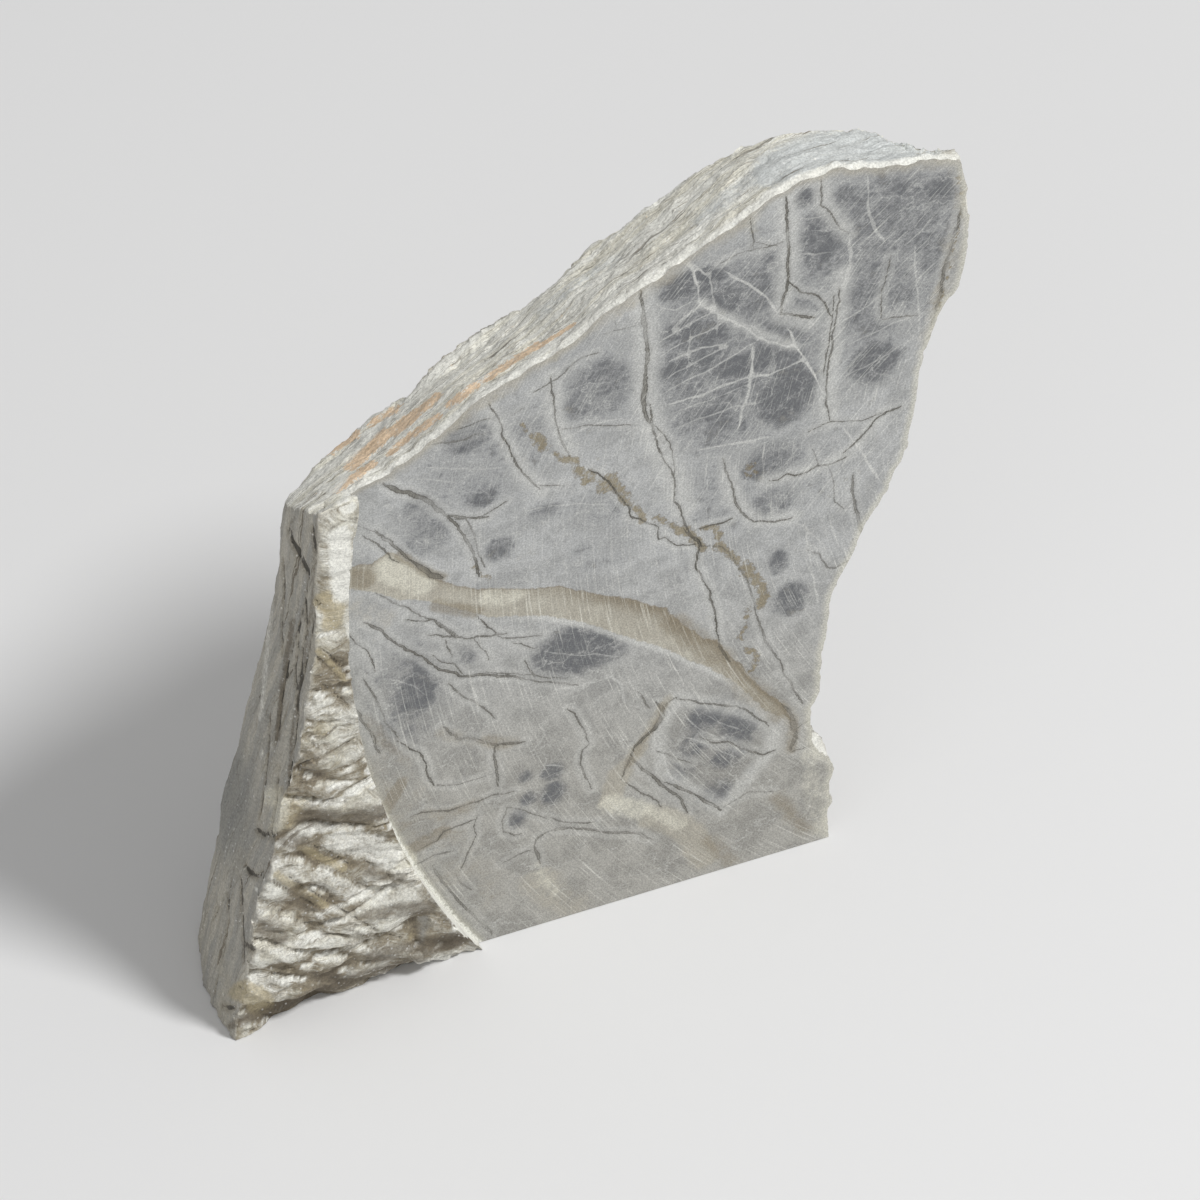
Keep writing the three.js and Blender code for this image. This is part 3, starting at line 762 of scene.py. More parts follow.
def carve(stone, sizes):
    """Gives each side of the block its own relief, and keeps its height for the materials."""
    mesh = stone.data
    points = coordinates(mesh)
    facing = normals(mesh)
    places = face_places(points)
    heights = np.zeros(len(points))
    for index, (place, normal) in enumerate(zip(places, facing)):
        shares = [float(weight(normal)) for _, weight in RELIEFS]
        total = sum(shares) or 1.0
        height = sum(s * relief(*place) for s, (relief, _) in zip(shares, RELIEFS) if s > 0.01) / total
        ledge = shares[0] / total
        heights[index] = height
        moved = normal * height
        moved[2] -= LEAN * ledge * max(height, 0.0)
        moved[2] -= sizes.chip / MM * chip_depth(place[0], place[1], normal[2])
        points[index] += moved * MM
        front = SAWN_PLANE - furthest_front(place[0], place[2]) * MM
        points[index, 1] = max(points[index, 1], front)
    mesh.vertices.foreach_set("co", points.ravel())
    store(mesh, "relief", heights)
    mesh.update()


# ------------------------------------------------------------------ saw cut and foot


def saw_off_front(stone):
    """A round blade cuts a slab off the front and stops short of the left edge."""
    depth = 60 * MM
    middle = (FACE_LEFT + BLADE_CENTRE[0] * MM, SAWN_PLANE - depth / 2, FACE_TOP + BLADE_CENTRE[1] * MM)
    bpy.ops.object.select_all(action="DESELECT")
    bpy.ops.mesh.primitive_cylinder_add(
        vertices=BLADE_SIDES, radius=BLADE_RADIUS * MM, depth=depth, location=middle,
        rotation=(math.pi / 2, 0, 0)
    )
    blade = bpy.context.object
    only(stone)
    bpy.ops.object.modifier_add(type="BOOLEAN")
    cut = stone.modifiers[-1]
    cut.operation = "DIFFERENCE"
    cut.solver = "MANIFOLD"
    cut.object = blade
    bpy.ops.object.modifier_apply(modifier=cut.name)
    bpy.data.objects.remove(blade)
    stone.data.materials.clear()


def level_foot(stone):
    """Cuts the spare stone off at the ground, so that the rock stands on a flat foot."""
    only(stone)
    bpy.ops.object.mode_set(mode="EDIT")
    bpy.ops.mesh.select_all(action="SELECT")
    bpy.ops.mesh.bisect(plane_co=(0, 0, 0), plane_no=(0, 0, 1), use_fill=True, clear_inner=True)
    bpy.ops.object.mode_set(mode="OBJECT")


def without_crumbs(stone):
    """Throws away the crumbs that the two cuts left loose, and gives back the stone."""
    only(stone)
    bpy.ops.mesh.separate(type="LOOSE")
    parts = sorted(bpy.context.selected_objects, key=lambda part: len(part.data.vertices))
    for crumb in parts[:-1]:
        bpy.data.objects.remove(crumb)
    parts[-1].name = "alabaster_stone"
    return parts[-1]


# ------------------------------------------------------------------ the sawn face


RAIL_GAP = 0.35  # mm from the edge of a crack to the line of points beside it
RIM_CLEARANCE = 0.45  # mm that the points of the lines keep from the face's rim
GRID_SEED = 7
GRID_SHAKE = 0.2  # share of the grid's spacing


def vein_warp(x, z, jagged):
    """The small wander of a line at a place, the same for all lines of a kind, so that they still meet.

    Blender seeds noise_vector from the clock when it starts, so this wander differs a little in each run.
    """
    slow = noise.noise_vector(Vector((x / 5.0, z / 5.0, 1.0)))
    quick = noise.noise_vector(Vector((x / 1.9, z / 1.9, 5.0)))
    jag = (noise.cell_vector(Vector((x / 1.7, z / 1.7, 9.0))) - Vector((0.5, 0.5, 0.5))) * jagged
    return 0.5 * slow.x + 0.25 * quick.x + jag.x, 0.5 * slow.z + 0.25 * quick.z + jag.z


def trace(points, step, jagged=0.3):
    """A given line as closely spaced points with the wander of a natural crack, jagged by so many mm."""
    traced = []
    for (x0, z0), (x1, z1) in zip(points, points[1:]):
        count = max(1, round(math.hypot(x1 - x0, z1 - z0) / step))
        traced += [(x0 + (x1 - x0) * i / count, z0 + (z1 - z0) * i / count) for i in range(count)]
    traced.append(points[-1])
    return np.array([(x, z) for x, z in traced]) + np.array([vein_warp(x, z, jagged) for x, z in traced])


def side_rails(line, half_width):
    """The two edges of a groove along a line."""
    run = np.gradient(line, axis=0)
    run /= np.linalg.norm(run, axis=1)[:, None]
    across = np.stack((-run[:, 1], run[:, 0]), axis=1) * (half_width + RAIL_GAP)
    return [line + across, line - across]


def line_widths(line, half_width):
    """Half the width of a crack or vein along its line: uneven, and fading out at both ends."""
    run = np.concatenate(((0.0,), np.cumsum(np.hypot(*np.diff(line, axis=0).T))))
    from_end = np.minimum(run, run[-1] - run)
    uneven = np.array([noise.noise(Vector((x / 4.5, z / 4.5, 2.0))) for x, z in line])
    return half_width * (0.25 + 0.75 * smooth(from_end, 0, 4)) * (1 + 0.8 * uneven)


def distance_to(line, places, reach, widths=None):
    """Distance of each place to a line or to its edge, in mm, and a large number past its reach."""
    widths = np.zeros(len(line)) if widths is None else widths
    nearest = np.full(len(places), 99.0)
    low, high = line.min(0) - reach, line.max(0) + reach
    near = np.nonzero(np.all((places >= low) & (places <= high), axis=1))[0]
    close = places[near]
    for start, end, width in zip(line, line[1:], widths):
        run = end - start
        share = np.clip((close - start) @ run / (run @ run), 0, 1)
        away = close - start - share[:, None] * run
        nearest[near] = np.minimum(nearest[near], np.hypot(away[:, 0], away[:, 1]) - width)
    return nearest


def inside(places, loops):
    """Whether each place is inside the loops, given as pairs of points."""
    crossings = np.zeros(len(places), int)
    for (x0, z0), (x1, z1) in loops:
        spans = (places[:, 1] < z0) != (places[:, 1] < z1)
        at = x0 + (places[spans, 1] - z0) / (z1 - z0 if z1 != z0 else 1) * (x1 - x0)
        crossings[np.nonzero(spans)[0]] += at > places[spans, 0]
    return crossings % 2 == 1


def face_lines(sizes):
    """All the lines that the sawn face's mesh follows."""
    step = sizes.vein_step / MM
    lines = []
    for half_width, _, points in CRACKS:
        line = trace(points, step)
        lines += [line, *side_rails(line, half_width)]
    lines += [trace(points, step, 0) for _, _, points in VEINS]
    lines += [trace(points, step) for points in (BAND_TOP, BAND_FOOT)]
    return lines


def grid_places(low, high, spacing):
    """A slightly shaken grid of places, in rows that are offset by turns."""
    chance = np.random.default_rng(GRID_SEED)
    rows = np.arange(low[1], high[1], spacing * 0.866)
    places = []
    for index, z in enumerate(rows):
        x = np.arange(low[0] + (index % 2) * spacing / 2, high[0], spacing)
        places.append(np.stack((x, np.full(len(x), z)), axis=1))
    places = np.concatenate(places)
    return places + chance.uniform(-GRID_SHAKE, GRID_SHAKE, places.shape) * spacing


def sampled(places):
    tree = KDTree(len(places))
    for index, (x, z) in enumerate(places):
        tree.insert((x, z, 0), index)
    tree.balance()
    return tree


def clear_of(places, tree, gap):
    return np.array([tree.find((x, z, 0))[2] >= gap for x, z in places])


def cut_out_face(shape):
    """Takes the old sawn face out, and gives back its corners, their places and the edges of its rim."""
    old = [f for f in shape.faces if is_sawn(f)]
    marked = set(old)
    rim = [e for f in old for e in f.edges if sum(g in marked for g in e.link_faces) == 1]
    corners = list({v for e in rim for v in e.verts})
    order = {v: i for i, v in enumerate(corners)}
    places = face_places(np.array([v.co for v in corners]))[:, [0, 2]]
    edges = [(order[e.verts[0]], order[e.verts[1]]) for e in rim]
    bmesh.ops.delete(shape, geom=old, context="FACES_ONLY")
    inner = [e for e in shape.edges if not e.link_faces and not (e.verts[0] in order and e in rim)]
    bmesh.ops.delete(shape, geom=inner, context="EDGES")
    loose = [v for v in shape.verts if not v.link_edges]
    bmesh.ops.delete(shape, geom=loose, context="VERTS")
    return corners, places, edges


def face_cloud(places, edges, loops, sizes):
    """The points of the new face, which are its rim, its lines and a free grid, and the edges to keep."""
    rim_tree = sampled(places)
    cloud = [places]
    count = len(places)
    edges = list(edges)
    for line in face_lines(sizes):
        kept = inside(line, loops)
        kept &= clear_of(line, rim_tree, RIM_CLEARANCE)
        numbers = np.where(kept, count + np.cumsum(kept) - 1, -1)
        edges += [(a, b) for a, b in zip(numbers, numbers[1:]) if a >= 0 and b >= 0]
        cloud.append(line[kept])
        count += int(kept.sum())
    fixed = np.concatenate(cloud)
    spacing = sizes.face_grid / MM
    free = grid_places(places.min(0), places.max(0), spacing)
    free = free[inside(free, loops)]
    free = free[clear_of(free, sampled(fixed), 0.5 * spacing)]
    return np.concatenate((fixed, free)), edges


def face_vertices(shape, corners, flat, origins):
    """A vertex for each point of the new face. On the rim it is the vertex that was there before."""
    made = []
    for spot, origin in zip(flat, origins):
        own = [i for i in origin if i < len(corners)]
        if own:
            made.append(corners[own[0]])
        else:
            place = (FACE_LEFT + spot[0] * MM, SAWN_PLANE, FACE_TOP + spot[1] * MM)
            made.append(shape.verts.new(place))
    return made


def lay_triangles(shape, made, flat, corners_of):
    """The triangles of the new face, turned so that they all face outward."""
    for a, b, c in corners_of:
        (xa, za), (xb, zb), (xc, zc) = flat[a], flat[b], flat[c]
        turn = (xb - xa) * (zc - za) - (xc - xa) * (zb - za)
        if abs(turn) < 1e-9:
            continue
        ring = (made[a], made[b], made[c]) if turn > 0 else (made[a], made[c], made[b])
        shape.faces.new(ring).material_index = SAWN


def lay_face(stone, sizes):
    """Lays the sawn face again, as a mesh whose edges follow the cracks and veins."""
    shape = bmesh.new()
    shape.from_mesh(stone.data)
    corners, places, edges = cut_out_face(shape)
    loops = [(places[a], places[b]) for a, b in edges]
    cloud, edges = face_cloud(places, edges, loops, sizes)
    spots = [Vector((x, z)) for x, z in cloud]
    laid, _, faces, origins, _, _ = delaunay_2d_cdt(spots, [tuple(map(int, e)) for e in edges], [], 0, 1e-5)

    flat = np.array([tuple(v) for v in laid])
    corners_of = np.array([f for f in faces])
    middles = flat[corners_of].mean(axis=1)
    corners_of = corners_of[inside(middles, loops)]
    made = face_vertices(shape, corners, flat, origins)
    lay_triangles(shape, made, flat, corners_of)
    loose = [v for v in shape.verts if not v.link_faces]
    bmesh.ops.delete(shape, geom=loose, context="VERTS")
    shape.normal_update()
    shape.to_mesh(stone.data)
    shape.free()
    stone.data.update()
    return places


# ------------------------------------------------------------------ marks, one number for each vertex

# Lengths in mm, but for the share that the viewer's direction has along a face's normal.
CRACK_REACH, VEIN_REACH, BAND_REACH = 3.5, 3.0, 30.0
NO_CRACK = 9.0  # the gap that is stored where no crack is near
FAR_FROM_RIM = 40.0
OVER_BUMPS = 6
TURNED_AWAY = 0.05
GROOVE_GAP, GROOVE_FULL = -0.3, 0.6  # where a crack in the sawn face opens, and where it is deepest
SUNK_EDGE, SUNK_FLOOR = 0.9, -0.2  # where a crack in the skin starts to sink, and where it is deepest
SUNK_DEPTH = 0.7 * MM

def crack_marks(places, cracks, sizes, jagged, metric=np.eye(2)):
    """Gap to the edge of the nearest dark crack, in mm, negative inside it, and its darkness.

    The metric turns places and cracks into true lengths on their side of the stone.
    """
    places = places @ metric
    gap = np.full(len(places), NO_CRACK)
    tone = np.zeros(len(places))
    for half_width, darkness, points in cracks:
        line = trace(np.array(points, float) @ metric, sizes.vein_step / MM, jagged)
        found = distance_to(line, places, CRACK_REACH, line_widths(line, half_width))
        nearer = found < gap
        gap[nearer] = found[nearer]
        tone[nearer] = darkness
    return gap, tone


def vein_marks(places, sizes):
    """Paleness of the healed veins at each place, and of the halos round the cracks."""
    gap = np.full(len(places), NO_CRACK)
    tone = np.zeros(len(places))
    for half_width, paleness, points in VEINS:
        line = trace(points, sizes.vein_step / MM, 0)
        found = distance_to(line, places, VEIN_REACH, line_widths(line, half_width))
        nearer = found < gap
        gap[nearer] = found[nearer]
        tone[nearer] = paleness
    halo = np.zeros(len(places))
    for reach, points in HALOS:
        found = distance_to(np.array(points, float), places, 2 * reach)
        halo = np.maximum(halo, 1 - smooth(found, 0.3 * reach, 1.5 * reach))
    return gap, tone, halo


def band_marks(places, sizes):
    """How far inside the beige band each place is, in mm, and how far across it, from 0 at its top."""
    top = trace(BAND_TOP, sizes.vein_step / MM)
    foot = trace(BAND_FOOT, sizes.vein_step / MM)
    ring = np.concatenate((top, foot[::-1]))
    within = inside(places, list(zip(ring, np.roll(ring, -1, axis=0))))
    above = np.minimum(distance_to(top, places, BAND_REACH), BAND_REACH)
    below = np.minimum(distance_to(foot, places, BAND_REACH), BAND_REACH)
    edge = np.minimum(above, below)
    return np.where(within, edge, -edge), above / (above + below + 1e-6)


def stain_marks(places, name):
    stain = np.zeros(len(places))
    for half_width, softness, strength, points in STAINS[name]:
        found = distance_to(np.array(points, float), places, half_width + softness + 1)
        faded = smooth(found, half_width - softness / 2, half_width + softness)
        stain = np.maximum(stain, strength * (1 - faded))
    return stain


def blotch_marks(places):
    blotch = np.zeros(len(places))
    for x0, x1, z0, z1, strength in BLOTCHES:
        middle = np.array(((x0 + x1) / 2, (z0 + z1) / 2))
        radii = np.array(((x1 - x0) / 2, (z1 - z0) / 2))
        out = np.linalg.norm((places - middle) / radii, axis=1)
        blotch = np.maximum(blotch, strength * (1 - smooth(out, 0.5, 1.5)))
    return blotch


def out_of_sight(stone, points, facing):
    """Whether each place turns away from the viewer or lies behind another part of the stone."""
    sight = toward_viewer()
    hidden = facing @ np.array(sight) <= TURNED_AWAY
    tree = BVHTree.FromObject(stone, bpy.context.evaluated_depsgraph_get())
    for index in np.nonzero(~hidden)[0]:
        above_bumps = Vector(points[index]) + sight * OVER_BUMPS * MM
        hidden[index] = tree.ray_cast(above_bumps, sight)[0] is not None
    return hidden


def rim_distances(places, rim_places):
    """Distance of each place to the rim of the sawn face, in mm."""
    rim = KDTree(len(rim_places))
    for index, (x, z) in enumerate(rim_places):
        rim.insert((x, 0, z), index)
    rim.balance()
    return [min(rim.find(place)[2], FAR_FROM_RIM) for place in places]


def store_sides(mesh, facing):
    """Stores how much each vertex belongs to the ledge, to the top and to the left side."""
    roof = smooth(facing[:, 2], 0.3, 0.5)
    store(mesh, "is_ledge", smooth(-facing[:, 1], 0.35, 0.6) * (1 - roof))
    store(mesh, "is_roof", roof)
    store(mesh, "is_side", smooth(-facing[:, 0], 0.35, 0.6) * (1 - roof))


def sink_cracks(points, facing, gap, on_face, on_skin, groove):
    """Opens the widest cracks of the sawn face as grooves, and sinks those of the skin."""
    open_cracks = on_face & (gap < GROOVE_GAP)
    points[open_cracks, 1] += groove * np.minimum(1, -gap[open_cracks] / GROOVE_FULL)
    sunk = on_skin & (gap < SUNK_EDGE)
    points[sunk] -= facing[sunk] * (SUNK_DEPTH * smooth(gap[sunk], SUNK_EDGE, SUNK_FLOOR))[:, None]
    points[:, 2] = np.maximum(points[:, 2], 0)


def mark(stone, rim_places, sizes):
    """Stores every mark on the vertices, and opens the widest cracks."""
    mesh = stone.data
    points = coordinates(mesh)
    places = face_places(points)
    flat = stencil_places(places)
    facing = normals(mesh)
    on_face = np.abs(places[:, 1]) < 0.01
    gap, tone = crack_marks(flat, CRACKS, sizes, 0.3)
    hidden = ~on_face & out_of_sight(stone, points, facing)
    shown = ~on_face & ~hidden
    on_side = shown & (facing[:, 0] < facing[:, 1])
    on_ledge = shown & (facing[:, 0] >= facing[:, 1])
    for part, cracks, metric in ((on_side, SIDE_CRACKS, side_metric()), (on_ledge, LEDGE_CRACKS, np.eye(2))):
        gap[part], tone[part] = crack_marks(flat[part], cracks, sizes, 0.2, metric)
    gap[hidden] = NO_CRACK
    vein_gap, vein_tone, halo = vein_marks(flat, sizes)
    band, across = band_marks(flat, sizes)
    for name, values in (
        ("crack_gap", gap), ("crack_tone", tone), ("vein_gap", vein_gap), ("vein_tone", vein_tone),
        ("halo", halo), ("band", band), ("band_across", across), ("blotch", blotch_marks(flat)),
    ):
        store(mesh, name, values)
    for name in STAINS:
        store(mesh, name, np.where(hidden, 0.0, stain_marks(flat, name)))
    store(mesh, "rim", rim_distances(places, rim_places))
    store_sides(mesh, facing)
    sink_cracks(points, facing, gap, on_face, on_side | on_ledge, sizes.groove)
    mesh.vertices.foreach_set("co", points.ravel())
    mesh.update()


# ------------------------------------------------------------------ building materials


class Graph:
    """Adds and links the nodes of one material or node group."""

    def __init__(self, tree):
        self.tree = tree

    def node(self, kind, inputs=(), **settings):
        made = self.tree.nodes.new(kind)
        for name, value in settings.items():
            setattr(made, name, value)
        for name, value in dict(inputs).items():
            self.put(made.inputs[name], value)
        return made

    def put(self, socket, value):
        if isinstance(value, bpy.types.NodeSocket):
            self.tree.links.new(value, socket)
        elif socket.type == "RGBA" and len(value) == 3:
            socket.default_value = (*value, 1)
        else:
            socket.default_value = value

    def attribute(self, name):
        return self.node("ShaderNodeAttribute", attribute_name=name).outputs["Fac"]

    def math(self, operation, first, second=0.0, clamp=False):
        made = self.node("ShaderNodeMath", operation=operation, use_clamp=clamp)
        self.put(made.inputs[0], first)
        self.put(made.inputs[1], second)
        return made.outputs[0]

    def add(self, first, second):
        return self.math("ADD", first, second)

    def times(self, first, second, clamp=False):
        return self.math("MULTIPLY", first, second, clamp)

    def range(self, value, start, end, low=0.0, high=1.0):
        """low where value is start and high where it is end, with a soft turn at both."""
        made = self.node("ShaderNodeMapRange", interpolation_type="SMOOTHSTEP")
        for socket, given in zip(made.inputs[:5], (value, start, end, low, high)):
            self.put(socket, given)
        return made.outputs["Result"]

    def mix(self, share, first, second, blend="MIX"):
        made = self.node("ShaderNodeMix", data_type="RGBA", blend_type=blend)
        self.put(made.inputs[0], share)
        self.put(made.inputs[6], first)
        self.put(made.inputs[7], second)
        return made.outputs[2]

    def noise(self, vector, scale, detail=2.0, roughness=0.5, dimensions="3D"):
        made = self.node(
            "ShaderNodeTexNoise",
            {"Vector": vector, "Scale": scale, "Detail": detail, "Roughness": roughness},
            noise_dimensions=dimensions,
        )
        return made.outputs["Fac"]

    def spread(self, value, reach):
        """A noise value of 0 to 1 as a shift of -reach to reach."""
        return self.times(self.math("SUBTRACT", value, 0.5), 2 * reach)

    def tint(self, colour, shade, low, high):
        """The colour made darker or lighter, between low and high, by a value of 0 to 1."""
        factor = self.range(shade, 0, 1, low, high)
        return self.mix(1.0, colour, self.join(factor, factor, factor), "MULTIPLY")

    def place(self):
        """Place on the stone, in millimetres from the sawn face's top left corner."""
        source = self.node("ShaderNodeTexCoord").outputs["Object"]
        corner = (-FACE_LEFT / MM, -SAWN_PLANE / MM, -FACE_TOP / MM)
        made = self.node("ShaderNodeMapping", {"Vector": source, "Location": corner, "Scale": (1 / MM,) * 3})
        return made.outputs["Vector"]

    def split(self, vector):
        return self.node("ShaderNodeSeparateXYZ", {"Vector": vector}).outputs

    def join(self, x, y, z):
        return self.node("ShaderNodeCombineXYZ", {"X": x, "Y": y, "Z": z}).outputs["Vector"]

    def stretch(self, vector, x, y, z):
        made = self.node("ShaderNodeVectorMath", operation="MULTIPLY")
        self.put(made.inputs[0], vector)
        self.put(made.inputs[1], (x, y, z))
        return made.outputs["Vector"]


def group(name, inputs, outputs, build):
    """A node group with float or vector sockets."""
    tree = bpy.data.node_groups.new(name, "ShaderNodeTree")
    for label, kind in inputs:
        tree.interface.new_socket(label, in_out="INPUT", socket_type=kind)
    for label, kind in outputs:
        tree.interface.new_socket(label, in_out="OUTPUT", socket_type=kind)
    graph = Graph(tree)
    entry = graph.node("NodeGroupInput")
    leave = graph.node("NodeGroupOutput")
    for label, value in build(graph, entry.outputs).items():
        graph.put(leave.inputs[label], value)
    return tree


def saw_marks(graph, given):
    """Fine scratches of the blade: arcs round its last centre, and arcs from its way there."""
    x, _, z = graph.split(given["Place"])
    dx = graph.math("SUBTRACT", x, BLADE_CENTRE[0])
    dz = graph.math("SUBTRACT", z, BLADE_CENTRE[1])
    radius = graph.math("SQRT", graph.add(graph.times(dx, dx), graph.times(dz, dz)))
    angle = graph.times(graph.math("ARCTAN2", dz, graph.times(dx, -1)), BLADE_RADIUS)
    ahead = graph.add(graph.times(dx, -0.45), graph.times(dz, 0.89))
    beside = graph.add(graph.times(dx, 0.89), graph.times(dz, 0.45))
    left = graph.math("SUBTRACT", BLADE_RADIUS ** 2, graph.times(beside, beside))
    phase = graph.math("SUBTRACT", ahead, graph.math("SQRT", left))
    last = graph.noise(graph.join(radius, graph.times(angle, 0.018), 0), 1.5, 4, 0.7, "2D")
    coming = graph.noise(graph.join(phase, graph.times(beside, 0.022), 0), 1.5, 4, 0.7, "2D")
    patches = graph.noise(graph.join(x, z, 0), 0.035, 2, 0.5, "2D")
    low_left = graph.range(graph.math("SUBTRACT", z, graph.times(x, 0.9)), 10, -170, 0.2, 1)
    up_right = graph.range(graph.add(z, graph.times(x, 0.6)), -60, 70, 0.2, 1)
    low_left = graph.times(low_left, graph.range(patches, 0.62, 0.4, 0.4, 1))
    up_right = graph.times(up_right, graph.range(patches, 0.36, 0.6, 0.4, 1))
    light_last = graph.times(graph.range(last, 0.55, 0.72), low_left)
    light_coming = graph.times(graph.range(coming, 0.55, 0.72), up_right)
    dark_last = graph.times(graph.range(last, 0.45, 0.3), low_left)
    dark_coming = graph.times(graph.range(coming, 0.45, 0.3), up_right)
    return {
        "Light": graph.math("MAXIMUM", light_last, light_coming),
        "Dark": graph.math("MAXIMUM", dark_last, dark_coming),
        "Arcs": graph.range(last, 0.5, 0.66),
    }


def grain(graph, given):
    """Sugary crystals: a fine mottle, and rare sparkles that the skin paints as white glints in its colour.
    """
    place = given["Place"]
    cells = graph.node("ShaderNodeTexVoronoi", {"Vector": place, "Scale": 1.1}, feature="F1")
    crystals = graph.split(cells.outputs["Color"])[0]
    return {
        "Mottle": graph.range(graph.noise(place, 1.3, 3, 0.7), 0.25, 0.75),
        "Sparkle": graph.times(graph.range(crystals, 0.93, 0.97),
                               graph.range(cells.outputs["Distance"], 0.5, 0.2)),
    }


def healed_cells(graph, given):
    """Stone that has cracked into cells and healed: pale walls between them, and a finer net inside."""
    x, _, z = graph.split(given["Place"])
    flat = graph.join(x, graph.times(z, 1.3), 0)
    wander = graph.node("ShaderNodeTexNoise",
                        {"Vector": flat, "Scale": 0.09, "Detail": 4.0, "Roughness": 0.6},
                        noise_dimensions="2D")
    shift = graph.node("ShaderNodeVectorMath", operation="MULTIPLY_ADD")
    graph.put(shift.inputs[0], wander.outputs["Color"])
    graph.put(shift.inputs[1], (22, 22, 0))
    graph.put(shift.inputs[2], flat)
    wide, narrow = (
        graph.node("ShaderNodeTexVoronoi", {"Vector": shift.outputs[0], "Scale": scale},
                   feature="DISTANCE_TO_EDGE", voronoi_dimensions="2D").outputs["Distance"]
        for scale in (0.06, 0.17)
    )
    return {"Wall": graph.range(wide, 0.16, 0.0), "Vein": graph.range(wide, 0.03, 0.0),
            "Net": graph.range(narrow, 0.25, 0.0), "Thread": graph.range(narrow, 0.06, 0.0)}


def bedding(graph, given):
    """The stone's thin layers, which stand almost parallel to the sawn face."""
    place = given["Place"]
    x, y, z = graph.split(place)
    warp = graph.spread(graph.noise(place, 0.03, 4, 0.6), 5)
    lean = graph.add(graph.times(x, BEDDING_LEAN[0]), graph.times(z, BEDDING_LEAN[1]))
    level = graph.add(graph.add(y, lean), warp)
    along = graph.join(graph.times(x, 0.045), level, graph.times(z, 0.045))
    return {"Broad": graph.noise(along, 0.3, 3, 0.6), "Fine": graph.noise(along, 1.3, 4, 0.75),
            "Line": graph.noise(graph.stretch(along, 0.6, 1, 0.6), 0.62, 3, 0.55),
            "Hair": graph.noise(graph.stretch(along, 1.4, 1, 1.4), 2.9, 3, 0.7)}


FLOAT, VECTOR = "NodeSocketFloat", "NodeSocketVector"


def make_groups():
    """One node group for each effect, all of them with the place on the stone as their input."""
    effects = {
        "saw": ("Saw marks", ("Light", "Dark", "Arcs"), saw_marks),
        "grain": ("Sugary grain", ("Mottle", "Sparkle"), grain),
        "cells": ("Healed cells", ("Wall", "Vein", "Net", "Thread"), healed_cells),
        "bedding": ("Bedding", ("Broad", "Fine", "Line", "Hair"), bedding),
    }
    return {
        key: group(name, [("Place", VECTOR)], [(label, FLOAT) for label in labels], build)
        for key, (name, labels, build) in effects.items()
    }


def use(graph, tree, **inputs):
    made = graph.node("ShaderNodeGroup", node_tree=tree)
    for name, value in inputs.items():
        graph.put(made.inputs[name], value)
    return made.outputs


def surface(name):
    """A new material with its graph and its Principled shader."""
    material = bpy.data.materials.new(name)
    material.use_nodes = True
    graph = Graph(material.node_tree)
    shader = material.node_tree.nodes["Principled BSDF"]
    return material, graph, shader


def bump(graph, shader, height, distance, strength=1.0):
    made = graph.node("ShaderNodeBump", {"Height": height, "Distance": distance, "Strength": strength})
    graph.put(shader.inputs["Normal"], made.outputs["Normal"])


def sawn_material(groups, colours):
    """The sawn face: cells of grey, healed veins, cracks, the beige band and the blade's scratches."""
    material, graph, shader = surface("sawn_alabaster")
    place = graph.place()
    x, _, z = graph.split(place)
    flat = graph.join(x, z, 0)
    cells = use(graph, groups["cells"], Place=place)
    saw = use(graph, groups["saw"], Place=place)
    cloud = graph.noise(flat, 0.075, 5, 0.65, "2D")
    speck = graph.noise(flat, 0.33, 5, 0.72, "2D")
    grit = graph.noise(flat, 1.7, 3, 0.75, "2D")

    colour = stone_colour(graph, colours, cells, cloud, speck, graph.add(z, graph.times(x, 0.25)))
    colour = band_colour(graph, colours, colour, flat, saw)
    colour = stain_colour(graph, colours, colour, speck, cloud)
    colour, crack = crack_colour(graph, colours, colour, flat)

    edge = graph.range(graph.add(graph.attribute("rim"), graph.times(speck, 2)), 4.2, 1.4)
    rim = graph.mix(graph.range(graph.math("SUBTRACT", x, z), 110, 150), colours.beige, colours.cream)
    colour = graph.mix(graph.times(edge, 0.6), colour, rim)
    # Crushed stone and painted highlight: a white lip along the rim at the lower left, where the blade's arc
    # wall faces the light.
    lip = graph.range(graph.add(graph.attribute("rim"), speck), 2.1, 1.3)
    lower_left = graph.times(graph.range(x, 90, 70), graph.range(z, -70, -100))
    colour = graph.mix(graph.times(graph.times(lip, lower_left), 0.9), colour, colours.white)
    colour = graph.mix(graph.times(saw["Light"], 0.42), colour, colours.white)
    colour = graph.mix(graph.times(saw["Dark"], 0.22), colour, colours.dark)
    colour = graph.tint(colour, graph.range(grit, 0.3, 0.7), 0.81, 1.19)
    colour = graph.tint(colour, graph.range(speck, 0.3, 0.7), 0.96, 1.04)
    graph.put(shader.inputs["Base Color"], colour)

    rough = graph.range(saw["Light"], 0, 1, 0.5, 0.36)
    graph.put(shader.inputs["Roughness"], graph.add(rough, graph.times(crack, 0.3)))
    bump(graph, shader, graph.add(grit, graph.times(saw["Light"], 0.8)), 0.06 * MM, 0.6)
    return material


